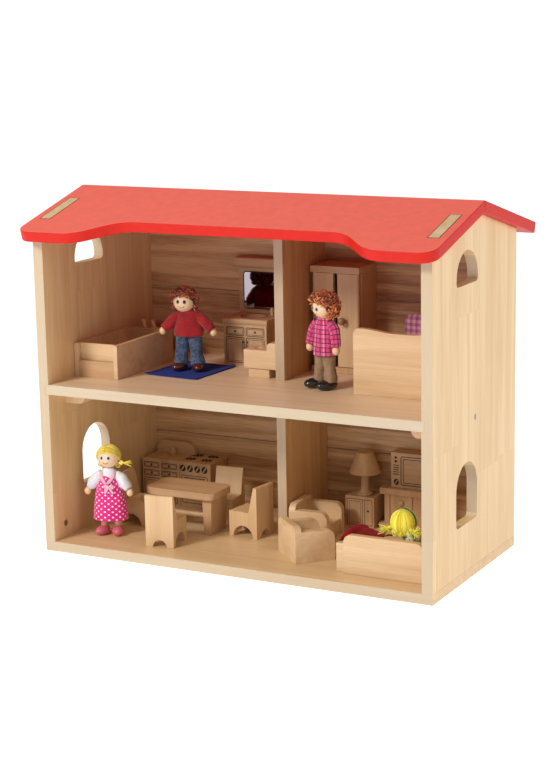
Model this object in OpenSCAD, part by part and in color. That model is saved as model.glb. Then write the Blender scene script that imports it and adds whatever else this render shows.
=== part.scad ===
// Two-storey wooden dollhouse with an open front, a red roof, furniture and four dolls.
// Millimetres, +Z up. The origin is under the middle of the bounding box, on the ground.
// The open front faces -Y.

/* [House] */
// Outer width across both side walls
house_w = 508; // [490:1:540]
// Depth of the side walls, front to back
house_d = 250; // [250:1:270]
// Thickness of the base board, the upper floor and the partitions
board_t = 12; // [11:0.5:13]
// Thickness of each side wall
wall_t = 13; // [12:0.5:14]
// Height of the upper floor's top face
upper_floor_z = 206; // [204:1:215]
// Setback of the partitions' front edges from the open front
partition_y = 129; // [128:1:134]
// Left face of the partitions, measured from the middle of the house
partition_x = -3; // [-3:0.5:-2]
// Thickness of the four planks that close the back
plank_t = 8; // [6:0.5:8]

/* [Roof] */
// Height of the ridge
ridge_z = 431; // [428:1:450]
// Slope of both roof panels
roof_slope = 15; // [13:0.5:16]
// Thickness of the roof panels
roof_t = 13; // [10:0.5:15]
// Roof overhang past each side wall
side_overhang = 10; // [5:1:20]
// Roof overhang past the back
back_overhang = 40; // [20:1:50]
// Overhang of the two front eave lobes, measured level
front_overhang = 22; // [12:1:30]
// Distance between the lobes' edge and the set-back middle of the front eave, measured level
eave_recess = 42; // [36:1:46]
// Distance from the middle to the centre of each eave curve
eave_curve_x = 164; // [140:1:180]
// Radius of the eave curves
eave_curve_r = 45; // [30:1:50]
// Radius of the front outer corners
eave_corner_r = 18; // [8:1:24]

/* [Windows] */
// Width of every window
window_w = 62; // [50:1:64]
// Distance from the open front to the windows' middle
window_y = 98.5; // [90:0.5:110]
// Sill height of the lower windows
lower_sill_z = 68; // [50:1:75]
// Height of the lower windows, sill to crown
lower_window_h = 71; // [60:1:80]
// Sill height of the upper windows
upper_sill_z = 341; // [330:1:342]
// Height of the upper windows, sill to crown
upper_window_h = 38; // [34:1:38]

/* [Furniture] */
// Width, depth and height of a chair
chair_size = [36, 41, 63.5]; // [30:0.5:70]
// Seat height of a chair
chair_seat_h = 31.5; // [28:0.5:34]
// Width, depth and height of an armchair
armchair_size = [57, 49, 44]; // [40:0.5:60]
// Height of an armchair's arms
armchair_arm_h = 37; // [32:0.5:40]
// Width, depth and height of the table
table_size = [96, 52, 54]; // [44:0.5:96]
// Width, depth and height of the kitchen unit
kitchen_size = [101, 44.5, 60]; // [40:0.5:101]
// Width, depth and height of the wardrobe
wardrobe_size = [65, 49.5, 130]; // [45:0.5:132]
// Width, depth and height of the bathtub
tub_size = [61.5, 131, 41]; // [36:0.5:135]
// Width, depth and height of the vanity's cabinet with its counter
vanity_size = [63, 51.5, 58.5]; // [50:0.5:64]
// Width, depth and height of the bed at its foot board
bed_size = [120, 146, 77]; // [70:0.5:146]
// Width, depth and height of the sofa
sofa_size = [119.8, 55, 46]; // [45:0.5:120]

/* [Dolls] */
// Standing height of the doll in the pink dress
pink_doll_h = 113.5; // [100:0.5:116]
// Standing height of the doll in the red shirt
red_doll_h = 105; // [98:0.5:110]
// Standing height of the doll in the plaid shirt
plaid_doll_h = 116; // [100:0.5:118]

/* [Hidden] */
$fn = 48;
// Gap under each loose piece, and a cut's extra length past a face
foot_gap = 0.1;
past = 1;
// The house is laid out from its open front, and box_mid_y moves the origin to the box's middle
box_mid_y = (house_d + back_overhang - front_overhang) / 2;
ridge_y = house_d / 2;
inner_x = house_w / 2 - wall_t;
back_y = house_d - plank_t;
ground_z = board_t + foot_gap;
upstairs_z = upper_floor_z + foot_gap;
function roof_top(y) = ridge_z - tan(roof_slope) * abs(y - ridge_y);
function roof_under(y) = roof_top(y) - roof_t / cos(roof_slope);
// Tenons on the walls that come up through the front roof panel
tenon_y = [18, 82];
tenon_clearance = 0.15;
// Groove in each wall that holds the upper floor
dado_depth = 3.5;
// Back planks: height, topmost seam and gap between planks
plank_h = 95.5;
top_seam_z = 290.5;
plank_gap = 0.8;
// Cleats under the upper floor and the fasteners in the walls
cleat_size = [27, 105, 16.5];
cleat_y = 35;
cleat_chamfer = 5;
screw_at = [123, 186];
screw_shaft_r = 1.75;
screw_head_r = 3.6;
screw_head_h = 2.4;
screw_l = 30;
nut_at = [25, 29];
nut_r = 4;
nut_l = 9;
nut_slot = [5.5, 1.2, 1];
// Where each loose piece stands: x and y from the middle of the open front, and its turn
tub_at = [-inner_x + 0.5, 57];
mat_at = [-125.3, 138.5];
vanity_at = [-109, 190];
toilet_at = [-47, 131];
wardrobe_at = [13.2, 192];
bed_at = [115.5, 95];
kitchen_at = [-236, 197];
table_at = [-121.5, 118.5];
chair_places = [[-112, 31.5, 8], [-18.5, 124.5, 83], [-101.3, 190.5, 186], [-215, 118, -90]];
armchair_places = [[45.5, 57.5, -42.2], [11.8, 153, -86]];
side_cabinet_at = [49.5, 207];
lamp_at = [70.6, 220.5];
television_cabinet_at = [92.6, 212.5];
television_at = [104.5, 222];
sofa_at = [120.4, 31];
pink_doll_at = [-196.5, 57];
red_doll_at = [-123, 135];
plaid_doll_at = [72, 110];
// Bathtub boards
tub_board_t = 6;
tub_end_t = 10;
tub_front_h = 20;
tub_bottom_t = 5;
tap_tilt = 20;
tap_x = [26, 40];
tap_r = 2.2;
// Bath mat
mat_size = [75, 88, 1.2];
mat_turn = -4;
// Vanity
counter_t = 7;
counter_lip = 1.5;
basin_r = 16;
basin_depth = 5.8;
mirror_board_t = 5;
mirror_board_h = 57.5;
mirror_margin = 7;
mirror_t = 1;
canopy_size = [67, 15, 13];
// Toilet
toilet_body_size = [43.4, 29, 22.5];
toilet_pedestal_size = [28, 24, 11.5];
toilet_tank = [12, 9.5];
toilet_hole_r = 5;
toilet_hole_depth = 12;
// Wardrobe
case_side_t = 5.5;
case_back_t = 4;
plinth_h = 7.5;
cornice_h = 8;
door_t = 6;
door_w = 28.2;
door_inset = 1.6;
door_end_gap = 0.5;
pin_r = 1;
pin_l = 10;
pin_clearance = 0.08;
knob_r = 4.6;
knob_neck = 2;
knob_up = 57.5;
// Bed
bed_board_t = 8;
bed_wave = 3.6;
bed_base_h = 38;
head_board_h = 48;
pillow_size = [62, 14, 36.3];
pillow_at = [9, 119];
// Kitchen unit
splashback_size = [57, 8.5, 16];
splashback_r = 14;
kitchen_tap_at = [29.5, 30];
// Table
table_top_t = 8.7;
table_corner_r = 9;
table_leg_inset = 7;
// Seating
armchair_board_t = 9;
armchair_seat_h = 18;
seat_corner_r = 10;
sofa_arm_t = 10.5;
sofa_arm_h = 34;
sofa_arm_setback = 4;
sofa_board_t = 8;
sofa_seat_h = 20;
// Cabinets, television and lamp
side_cabinet_size = [38.8, 34.5, 38.5];
television_cabinet_size = [86.8, 29, 51.4];
television_size = [55.5, 19.3, 43.8];
slab_t = 7.5;
slab_lip = 6;
groove_x = [13.4, 43.4, 73.4];
groove_w = 1.2;
groove_depth = 1.5;
lamp_stand_h = 27.3;
lamp_shade_h = 27;
lamp_shade_r = [19.7, 10.3];
// Red blanket over the doll on the sofa: its cross-section along X, and its run along Y
blanket_t = 1.5;
blanket_y = [43, 91];
blanket_line = [
    [118.5, 47.2], [119, 51], [120.5, 54.8], [123.5, 57], [128, 57], [134, 54.3], [150, 51.5], [166, 49]
];

// ---- helpers ----

// Move from the open-front layout to the final origin
module placed(x = 0, y = 0, z = 0, turn = 0) {
    translate([x, y - box_mid_y, z])
        rotate([0, 0, turn])
            children();
}

// Extrude a Y-Z outline along +X
module along_x(length) {
    rotate([90, 0, 90])
        linear_extrude(length)
            children();
}

// Extrude an X-Z outline along +Y
module along_y(length) {
    translate([0, length, 0])
        rotate([90, 0, 0])
            linear_extrude(length)
                children();
}

// Rectangle with all four corners rounded, its first corner at the origin
module rounded_rect(w, h, r) {
    translate([r, 0])
        square([w - 2 * r, h]);
    translate([0, r])
        square([w, h - 2 * r]);
    for (x = [r, w - r], y = [r, h - r])
        translate([x, y])
            circle(r);
}

// Upright board outline whose left and right top corners are rounded by r_left and r_right
module headed_rect(w, h, r_left, r_right) {
    r_max = max(r_left, r_right);
    square([w, h - r_max]);
    translate([r_left, 0])
        square([w - r_left - r_right, h]);
    square([r_max, h - r_left]);
    translate([w - r_max, 0])
        square([r_max, h - r_right]);
    translate([r_left, h - r_left])
        circle(max(r_left, 0.01));
    translate([w - r_right, h - r_right])
        circle(max(r_right, 0.01));
}

// Round bar between two points
module bar(from, to, r) {
    run = to - from;
    translate(from)
        rotate([0, acos(run.z / norm(run)), atan2(run.y, run.x)])
            cylinder(h = norm(run), r = r);
}

// Points along an arc, from angle a0 to angle a1
function arc(centre, r, a0, a1, steps = 8) =
    [for (i = [0:steps]) centre + r * [cos(a0 + (a1 - a0) * i / steps), sin(a0 + (a1 - a0) * i / steps)]];

// ---- house ----

module floor_board() {
    color("burlywood")
        placed(-house_w / 2)
            cube([house_w, house_d, board_t]);
}

// Arched window with a level sill, in the Y-Z plane
module window_outline(sill_z, height) {
    r = window_w / 2;
    sill_corner_r = 5;
    translate([window_y - r, sill_z]) {
        intersection() {
            translate([r, height - r])
                circle(r, $fn = 96);
            translate([0, height - r])
                square([window_w, r]);
        }
        intersection() {
            rounded_rect(window_w, height, sill_corner_r);
            square([window_w, height - r]);
        }
    }
}

module wall_outline() {
    difference() {
        polygon([
            [0, board_t], [house_d, board_t], [house_d, roof_under(house_d)],
            [ridge_y, roof_under(ridge_y)],
            [tenon_y[1], roof_under(tenon_y[1])], [tenon_y[1], roof_top(tenon_y[1])],
            [tenon_y[0], roof_top(tenon_y[0])], [tenon_y[0], roof_under(tenon_y[0])],
            [0, roof_under(0)]
        ]);
        window_outline(lower_sill_z, lower_window_h);
        window_outline(upper_sill_z, upper_window_h);
    }
}

// The right wall, with its inner face towards -X
module wall() {
    placed(inner_x)
        difference() {
            along_x(wall_t)
                wall_outline();
            translate([-past, -past, upper_floor_z - board_t])
                cube([dado_depth + past, back_y + past, board_t]);
            fasteners();
        }
}

module left_wall() {
    color("wheat")
        mirror([1, 0, 0])
            wall();
}

module right_wall() {
    color("wheat")
        wall();
}

module upper_floor() {
    color("burlywood")
        placed(-inner_x - dado_depth, 0, upper_floor_z - board_t)
            cube([2 * (inner_x + dado_depth), back_y, board_t]);
}

module lower_partition() {
    color("tan")
        placed(partition_x, partition_y, board_t)
            cube([board_t, back_y - partition_y, upper_floor_z - 2 * board_t]);
}

module upper_partition() {
    color("tan")
        placed(partition_x)
            along_x(board_t)
                polygon([
                    [partition_y, upper_floor_z], [back_y, upper_floor_z],
                    [back_y, roof_under(back_y)], [partition_y, roof_under(partition_y)]
                ]);
}

// Back planks are counted from the bottom: 1 to 4
module back_plank(number) {
    seam = top_seam_z - plank_h * (4 - number);
    top = number == 4 ? floor(roof_under(house_d)) : seam + plank_h - plank_gap;
    bottom = number == 1 ? board_t : seam;
    color("peru")
        placed(-inner_x, back_y, bottom)
            cube([2 * inner_x, plank_t, top - bottom]);
}

// Level front edge of the roof as slope lengths from the ridge, one side, middle to corner
function eave_edge() =
    let (
        middle = (ridge_y + front_overhang - eave_recess) / cos(roof_slope),
        lobe = (ridge_y + front_overhang) / cos(roof_slope),
        half_w = house_w / 2 + side_overhang,
        run = (lobe - middle) / 2,
        bend = eave_curve_r * sin(45),
        rise = eave_curve_r * (1 - cos(45)),
        start_x = eave_curve_x - run + rise - bend,
        end_x = eave_curve_x + run - rise + bend
    )
    concat(
        arc([start_x, middle + eave_curve_r], eave_curve_r, -90, -45),
        arc([end_x, lobe - eave_curve_r], eave_curve_r, 135, 90),
        arc([half_w - eave_corner_r, lobe - eave_corner_r], eave_corner_r, 90, 0)
    );

module front_roof_outline() {
    edge = eave_edge();
    last = len(edge) - 1;
    half_w = house_w / 2 + side_overhang;
    polygon(concat(
        [[-half_w, 0], [half_w, 0]],
        [for (i = [last:-1:0]) [edge[i].x, -edge[i].y]],
        [for (i = [0:last]) [-edge[i].x, -edge[i].y]]
    ));
}

// Tilt a flat panel outline down from the ridge and trim it on the mitre plane
module roof_panel() {
    difference() {
        translate([0, ridge_y, ridge_z])
            rotate([roof_slope, 0, 0])
                translate([0, 0, -roof_t])
                    linear_extrude(roof_t)
                        children();
        translate([-house_w, ridge_y, ridge_z - 3 * roof_t])
            cube([2 * house_w, 3 * roof_t, 4 * roof_t]);
    }
}

module tenon_slots() {
    for (side = [-1, 1])
        translate([side * (house_w - wall_t) / 2, (tenon_y[0] + tenon_y[1]) / 2, ridge_z])
            cube([
                wall_t + 2 * tenon_clearance,
                tenon_y[1] - tenon_y[0] + 2 * tenon_clearance,
                8 * roof_t
            ], center = true);
}

module front_roof_panel() {
    color("tomato")
        placed()
            difference() {
                roof_panel()
                    front_roof_outline();
                tenon_slots();
            }
}

module back_roof_panel() {
    half_w = house_w / 2 + side_overhang;
    slope_l = (house_d - ridge_y + back_overhang) / cos(roof_slope);
    corner_r = 4;
    color("tomato")
        placed(0, 2 * ridge_y)
            mirror([0, 1, 0])
                roof_panel() {
                    translate([-half_w, -slope_l])
                        rounded_rect(2 * half_w, slope_l, corner_r);
                    translate([-half_w, -2 * corner_r])
                        square([2 * half_w, 2 * corner_r]);
                }
}

// Cleat under the upper floor along the right wall
module cleat() {
    translate([inner_x - cleat_size.x, cleat_y, upper_floor_z - board_t - cleat_size.z])
        along_y(cleat_size.y)
            polygon([
                [cleat_chamfer, 0], [cleat_size.x, 0], [cleat_size.x, cleat_size.z],
                [0, cleat_size.z], [0, cleat_chamfer]
            ]);
}

module shelf_cleats() {
    color("burlywood")
        for (side = [0, 1])
            placed()
                mirror([side, 0, 0])
                    difference() {
                        cleat();
                        translate([inner_x, 0, 0])
                            fasteners();
                    }
}

// Countersunk cleat screw and slotted barrel nut of the right wall, from its inner face
module fasteners() {
    translate([wall_t, screw_at[0], screw_at[1]])
        rotate([0, -90, 0]) {
            cylinder(h = screw_l, r = screw_shaft_r);
            cylinder(h = screw_head_h, r1 = screw_head_r, r2 = screw_shaft_r);
        }
    translate([0, nut_at[0], nut_at[1]])
        rotate([0, 90, 0])
            cylinder(h = nut_l, r = nut_r);
}

module wall_fasteners() {
    color("silver")
        for (side = [0, 1])
            placed()
                mirror([side, 0, 0])
                    translate([inner_x, 0, 0])
                        difference() {
                            fasteners();
                            translate([0, nut_at[0], nut_at[1]])
                                cube([2 * nut_slot.z, nut_slot.y, nut_slot.x], center = true);
                            translate([wall_t, screw_at[0], screw_at[1]])
                                cube([2 * nut_slot.z, nut_slot.y, nut_slot.x], center = true);
                        }
}

// ---- bathroom ----

module bathtub_sides() {
    color("tan")
        for (x = [0, tub_size.x - tub_board_t])
            placed(tub_at.x + x, tub_at.y, upstairs_z)
                cube([tub_board_t, tub_size.y, tub_size.z]);
}

module tap_pegs() {
    for (x = tap_x)
        translate([x, tub_size.y - tub_end_t / 2, tub_size.z - 4])
            rotate([0, -tap_tilt, 0]) {
                cylinder(h = 12, r = tap_r);
                translate([0, 0, 12])
                    sphere(tap_r + 0.5);
            }
}

module bathtub_ends() {
    width = tub_size.x - 2 * tub_board_t;
    color("burlywood")
        placed(tub_at.x, tub_at.y, upstairs_z)
            difference() {
                translate([tub_board_t, 0, 0]) {
                    cube([width, tub_end_t, tub_front_h]);
                    translate([0, tub_size.y - tub_end_t, 0])
                        cube([width, tub_end_t, tub_size.z]);
                }
                tap_pegs();
            }
}

// Bottom board with the steep back rest that stands on the front block
module bathtub_liner() {
    width = tub_size.x - 2 * tub_board_t;
    rest_y = 5;
    rest_t = 3.5;
    lean = 2;
    color("navajowhite")
        placed(tub_at.x + tub_board_t, tub_at.y, upstairs_z)
            union() {
                translate([0, tub_end_t, 0])
                    cube([width, tub_size.y - 2 * tub_end_t, tub_bottom_t]);
                along_x(width)
                    polygon([
                        [rest_y, tub_size.z], [rest_y + rest_t, tub_size.z],
                        [rest_y + lean + rest_t, tub_front_h], [tub_end_t + rest_t, tub_bottom_t],
                        [tub_end_t, tub_bottom_t], [tub_end_t, tub_front_h],
                        [rest_y + lean, tub_front_h]
                    ]);
            }
}

module bathtub_taps() {
    color("wheat")
        placed(tub_at.x, tub_at.y, upstairs_z)
            tap_pegs();
}

module bath_mat() {
    color("royalblue")
        placed(mat_at.x, mat_at.y, upstairs_z, mat_turn)
            translate([-mat_size.x / 2, -mat_size.y / 2, 0])
                cube(mat_size);
}

module vanity_cabinet() {
    color("tan")
        placed(vanity_at.x + counter_lip, vanity_at.y + counter_lip, upstairs_z)
            cube([vanity_size.x - 2 * counter_lip, vanity_size.y - counter_lip, vanity_size.z - counter_t]);
}

module vanity_counter() {
    sphere_r = (basin_r * basin_r + basin_depth * basin_depth) / (2 * basin_depth);
    color("tan")
        placed(vanity_at.x, vanity_at.y, upstairs_z + vanity_size.z - counter_t)
            difference() {
                along_x(vanity_size.x)
                    polygon([
                        [counter_lip, 0], [vanity_size.y, 0], [vanity_size.y, counter_t],
                        [counter_lip, counter_t], [0, counter_t - counter_lip], [0, counter_lip + 1]
                    ]);
                translate([vanity_size.x / 2, vanity_size.y / 2, counter_t + sphere_r - basin_depth])
                    sphere(sphere_r, $fn = 96);
            }
}

module vanity_mirror_board() {
    color("tan")
        placed(vanity_at.x, vanity_at.y + vanity_size.y - mirror_board_t, upstairs_z + vanity_size.z)
            cube([vanity_size.x, mirror_board_t, mirror_board_h]);
}

// Thin mirror glued on the face of its board
module vanity_mirror() {
    mirror_w = vanity_size.x - 2 * mirror_margin;
    mirror_h = mirror_board_h - 2 * mirror_margin + 3;
    mirror_y = vanity_at.y + vanity_size.y - mirror_board_t - mirror_t;
    color("lightsteelblue")
        placed(vanity_at.x + mirror_margin, mirror_y, upstairs_z + vanity_size.z + mirror_margin - 1.5)
            along_y(mirror_t)
                rounded_rect(mirror_w, mirror_h, 4);
}

module vanity_canopy() {
    top = canopy_size.z;
    depth = canopy_size.y;
    color("tan")
        placed(
            vanity_at.x + (vanity_size.x - canopy_size.x) / 2,
            vanity_at.y + vanity_size.y - depth,
            upstairs_z + vanity_size.z + mirror_board_h
        )
            along_x(canopy_size.x)
                polygon([[3, 0], [depth, 0], [depth, top], [1.5, top], [0, top - 2.5], [0, 3]]);
}

module vanity_tap() {
    color("wheat")
        placed(vanity_at.x + vanity_size.x - 12, vanity_at.y + 37, upstairs_z + vanity_size.z)
            union() {
                cylinder(h = 7.5, r = 2.3);
                translate([0, 0, 7.5])
                    sphere(2.3);
            }
}

// Bowl and tank in one block, facing -X
module toilet_body() {
    bowl_h = toilet_body_size.z;
    tank_x = toilet_body_size.x - toilet_tank[0];
    color("navajowhite")
        placed(toilet_at.x, toilet_at.y, upstairs_z + toilet_pedestal_size.z)
            difference() {
                along_y(toilet_body_size.y)
                    union() {
                        square([toilet_body_size.x, bowl_h]);
                        translate([tank_x, 0])
                            headed_rect(toilet_tank[0], bowl_h + toilet_tank[1], 4.5, 0.5);
                    }
                translate([tank_x * 0.42, toilet_body_size.y / 2, bowl_h - toilet_hole_depth])
                    cylinder(h = toilet_hole_depth + past, r = toilet_hole_r);
            }
}

module toilet_pedestal() {
    color("navajowhite")
        placed(toilet_at.x + 5, toilet_at.y + 2.5, upstairs_z)
            cube(toilet_pedestal_size);
}

// ---- bedroom ----

door_h = wardrobe_size.z - plinth_h - cornice_h - 2 * door_end_gap;
// A door's pivot, from its own hinge edge and front face
pivot = door_t / 2;
left_pivot_x = door_inset + pivot;
right_pivot_x = wardrobe_size.x - left_pivot_x;
door_front_y = 1.5;
case_front_y = door_front_y + door_t + 0.5;

module wardrobe_frame() {
    placed(wardrobe_at.x, wardrobe_at.y, upstairs_z)
        children();
}

module pin_set(r, length) {
    low_z = plinth_h - length / 2;
    high_z = wardrobe_size.z - cornice_h - length / 2;
    for (x = [left_pivot_x, right_pivot_x], z = [low_z, high_z])
        translate([x, door_front_y + pivot, z])
            cylinder(h = length, r = r);
}

// Sides and back behind the doors, on a plinth that carries the doors
module wardrobe_case() {
    width = wardrobe_size.x;
    depth = wardrobe_size.y;
    height = wardrobe_size.z - cornice_h;
    color("tan")
        wardrobe_frame()
            difference() {
                union() {
                    cube([width, depth, plinth_h]);
                    translate([0, case_front_y, 0])
                        cube([width, depth - case_front_y, height]);
                }
                translate([case_side_t, 0, plinth_h])
                    cube([width - 2 * case_side_t, depth - case_back_t, height]);
                pin_set(pin_r, pin_l);
            }
}

module wardrobe_cornice() {
    color("burlywood")
        wardrobe_frame()
            difference() {
                translate([0, 0, wardrobe_size.z - cornice_h])
                    along_y(wardrobe_size.y)
                        headed_rect(wardrobe_size.x, cornice_h, 2, 2);
                pin_set(pin_r, pin_l);
            }
}

// Door with its hinge edge rounded about the pivot, drawn for the left side
module door_blank() {
    translate([left_pivot_x, door_front_y + pivot, plinth_h + door_end_gap])
        linear_extrude(door_h) {
            circle(pivot);
            translate([0, -pivot])
                square([door_w - pivot, door_t]);
        }
}

module on_right() {
    translate([wardrobe_size.x, 0, 0])
        mirror([1, 0, 0])
            children();
}

module door_bores() {
    pin_set(pin_r + pin_clearance, pin_l + 1);
}

module wardrobe_left_door() {
    color("burlywood")
        wardrobe_frame()
            difference() {
                door_blank();
                door_bores();
            }
}

module wardrobe_right_door() {
    color("burlywood")
        wardrobe_frame()
            difference() {
                on_right()
                    door_blank();
                door_bores();
            }
}

// Turned knob on the left door
module knob() {
    translate([left_pivot_x + door_w - pivot - 8, door_front_y, knob_up + plinth_h])
        rotate([90, 0, 0]) {
            cylinder(h = knob_neck, r = 1.6);
            translate([0, 0, knob_neck + knob_r - 1])
                sphere(knob_r);
        }
}

module wardrobe_left_knob() {
    color("peru")
        wardrobe_frame()
            knob();
}

module wardrobe_right_knob() {
    color("peru")
        wardrobe_frame()
            on_right()
                knob();
}

module wardrobe_hinge_pins() {
    color("silver")
        wardrobe_frame()
            pin_set(pin_r, pin_l);
}

// Foot board: high rounded corners and a top edge that dips in the middle
module bed_foot_board() {
    corner_r = 8;
    dip_x = 52;
    color("navajowhite")
        placed(bed_at.x, bed_at.y, upstairs_z)
            along_y(bed_board_t)
                polygon(concat(
                    [[0, 0], [bed_size.x, 0]],
                    arc([bed_size.x - corner_r, bed_size.z - corner_r], corner_r, 0, 90),
                    [for (i = [1:11]) [
                        bed_size.x - corner_r - (bed_size.x - 2 * corner_r) * i / 12,
                        bed_size.z - bed_wave * min(1, 1.25 * pow(sin(180 * i / 12), 2))
                    ]],
                    arc([corner_r, bed_size.z - corner_r], corner_r, 90, 180)
                ));
}

module bed_head_board() {
    color("navajowhite")
        placed(bed_at.x, bed_at.y + bed_size.y - bed_board_t, upstairs_z)
            along_y(bed_board_t)
                headed_rect(bed_size.x, head_board_h, 8, 8);
}

module bed_base() {
    inset = 4;
    color("tan")
        placed(bed_at.x + inset, bed_at.y + bed_board_t, upstairs_z)
            cube([bed_size.x - 2 * inset, bed_size.y - 2 * bed_board_t, bed_base_h]);
}

module bed_pillow() {
    color("orchid")
        placed(bed_at.x + pillow_at.x, bed_at.y + pillow_at.y, upstairs_z + bed_base_h + foot_gap)
            along_y(pillow_size.y)
                rounded_rect(pillow_size.x, pillow_size.z, 7);
}

// ---- kitchen ----

module kitchen_cabinet() {
    color("tan")
        placed(kitchen_at.x, kitchen_at.y, ground_z)
            cube(kitchen_size);
}

// Arched splashback at the back edge
module splashback() {
    color("tan")
        placed(kitchen_at.x + 1, kitchen_at.y + kitchen_size.y - splashback_size.y, ground_z + kitchen_size.z)
            along_y(splashback_size.y)
                intersection() {
                    headed_rect(splashback_size.x, splashback_size.z, splashback_r, splashback_r);
                    square([splashback_size.x, splashback_size.z]);
                }
}

// Square tap block with a round head
module tap_block() {
    block = 6;
    color("tan")
        placed(kitchen_at.x + kitchen_tap_at[0], kitchen_at.y + kitchen_tap_at[1], ground_z + kitchen_size.z)
            union() {
                translate([-block / 2, -block / 2, 0])
                    cube(block);
                cylinder(h = block + 3, r = 2.5);
            }
}

// The two small pieces glued to the cabinet's top, as separate solids
module kitchen_fittings() {
    splashback();
    tap_block();
}

module table_top() {
    color("tan")
        placed(table_at.x - table_size.x / 2, table_at.y - table_size.y / 2, ground_z + table_size.z - table_top_t)
            linear_extrude(table_top_t)
                rounded_rect(table_size.x, table_size.y, table_corner_r);
}

// Two tapered slab legs joined by a round stretcher
module table_trestle() {
    leg_h = table_size.z - table_top_t;
    leg_d = 39;
    leg_top_w = 13.5;
    leg_foot_w = 9;
    taper = (leg_top_w - leg_foot_w) / 2;
    outer_x = table_size.x / 2 - table_leg_inset + taper;
    color("burlywood")
        placed(table_at.x, table_at.y, ground_z)
            union() {
                for (side = [0, 1])
                    mirror([side, 0, 0])
                        translate([outer_x - leg_top_w, -leg_d / 2, 0])
                            along_y(leg_d)
                                polygon([
                                    [taper, 0], [taper + leg_foot_w, 0],
                                    [leg_top_w, leg_h], [0, leg_h]
                                ]);
                bar([-outer_x + leg_top_w / 2, 0, 19], [outer_x - leg_top_w / 2, 0, 19], 3.3);
            }
}

// Block chair facing +Y, its back at the origin, cut through by an arch each way
module chair_body() {
    back_foot = 12.3;
    back_head = 4.5;
    side_arch_r = 14.5;
    back_arch_r = 9;
    difference() {
        translate([-chair_size.x / 2, 0, 0])
            along_x(chair_size.x)
                polygon([
                    [0, 0], [chair_size.y, 0], [chair_size.y, chair_seat_h - 1],
                    [chair_size.y - 1, chair_seat_h], [back_foot, chair_seat_h],
                    [back_head, chair_size.z], [1, chair_size.z], [0, chair_size.z - 1]
                ]);
        translate([-chair_size.x / 2 - past, chair_size.y / 2, 0])
            rotate([0, 90, 0])
                cylinder(h = chair_size.x + 2 * past, r = side_arch_r);
        translate([0, -past, 0])
            rotate([-90, 0, 0])
                cylinder(h = chair_size.y + 2 * past, r = back_arch_r);
    }
}

module chair(number) {
    place = chair_places[number - 1];
    color("burlywood")
        placed(place[0], place[1], ground_z, place[2])
            chair_body();
}

// ---- living room ----

// Armchair facing +Y, the middle of its back at the origin
module armchair_body() {
    width = armchair_size.x;
    board = armchair_board_t;
    translate([-width / 2, 0, 0]) {
        along_y(board - 1)
            headed_rect(width, armchair_size.z, seat_corner_r, seat_corner_r);
        for (x = [0, width - board])
            translate([x, board - 1, 0])
                along_x(board)
                    headed_rect(armchair_size.y - board + 1, armchair_arm_h, 0.5, seat_corner_r);
        translate([board, board - 1, 0])
            cube([width - 2 * board, armchair_size.y - board - 1, armchair_seat_h]);
    }
}

module armchair(number) {
    place = armchair_places[number - 1];
    color("burlywood")
        placed(place[0], place[1], ground_z, place[2])
            armchair_body();
}

module side_cabinet() {
    color("tan")
        placed(side_cabinet_at.x, side_cabinet_at.y, ground_z)
            cube(side_cabinet_size);
}

module lamp_frame(z) {
    placed(lamp_at.x, lamp_at.y, ground_z + side_cabinet_size.z + foot_gap + z)
        children();
}

module lamp_stand() {
    color("tan")
        lamp_frame(0)
            rotate_extrude()
                polygon(concat(
                    [[0, 0], [9.5, 0], [10.3, 1], [10.3, 2.5]],
                    arc([10.3, 7], 4.5, -100, -170, 5),
                    [[5.4, 10], [5.2, 16], [5.8, lamp_stand_h], [0, lamp_stand_h]]
                ));
}

module lamp_shade() {
    color("tan")
        lamp_frame(lamp_stand_h)
            rotate_extrude($fn = 72)
                polygon([
                    [0, 0], [lamp_shade_r[0] - 1.5, 0], [lamp_shade_r[0], 1.2],
                    [lamp_shade_r[1] + 0.3, lamp_shade_h - 1], [lamp_shade_r[1] - 1, lamp_shade_h],
                    [0, lamp_shade_h]
                ]);
}

// Television bench with a top slab, a plinth, door grooves and two knobs
module television_cabinet() {
    size = television_cabinet_size;
    body_y = 3;
    knob_z = 34;
    color("tan")
        placed(television_cabinet_at.x, television_cabinet_at.y, ground_z)
            difference() {
                union() {
                    cube([size.x, size.y, slab_t]);
                    translate([slab_lip, body_y, 0])
                        cube([size.x - 2 * slab_lip, size.y - body_y, size.z]);
                    translate([0, 0, size.z - slab_t])
                        linear_extrude(slab_t)
                            union() {
                                translate([0, 3])
                                    square([size.x, size.y - 3]);
                                rounded_rect(size.x, size.y, 3);
                            }
                    for (i = [0, 1])
                        translate([(groove_x[i] + groove_x[i + 1]) / 2, body_y, knob_z])
                            sphere(4);
                }
                for (x = groove_x)
                    translate([x - groove_w / 2, body_y - past, slab_t + 1])
                        cube([groove_w, groove_depth + past, size.z - 2 * slab_t - 2]);
            }
}

module television() {
    color("tan")
        placed(
            television_at.x, television_at.y,
            ground_z + television_cabinet_size.z + foot_gap
        )
            cube(television_size);
}

// Sofa back board and its two arms, facing +Y
module sofa_frame() {
    arm_l = sofa_size.y - sofa_arm_setback;
    color("burlywood")
        placed(sofa_at.x, sofa_at.y, ground_z)
            union() {
                translate([sofa_arm_t, 0, 0])
                    along_y(sofa_board_t)
                        headed_rect(sofa_size.x - 2 * sofa_arm_t, sofa_size.z, seat_corner_r, seat_corner_r);
                for (x = [0, sofa_size.x - sofa_arm_t])
                    translate([x, sofa_arm_setback, 0])
                        along_x(sofa_arm_t)
                            headed_rect(arm_l, sofa_arm_h, 0.5, seat_corner_r);
            }
}

module sofa_seat() {
    color("tan")
        placed(sofa_at.x + sofa_arm_t, sofa_at.y + sofa_board_t, ground_z)
            cube([sofa_size.x - 2 * sofa_arm_t, sofa_size.y - sofa_board_t - 2, sofa_seat_h]);
}

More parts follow.
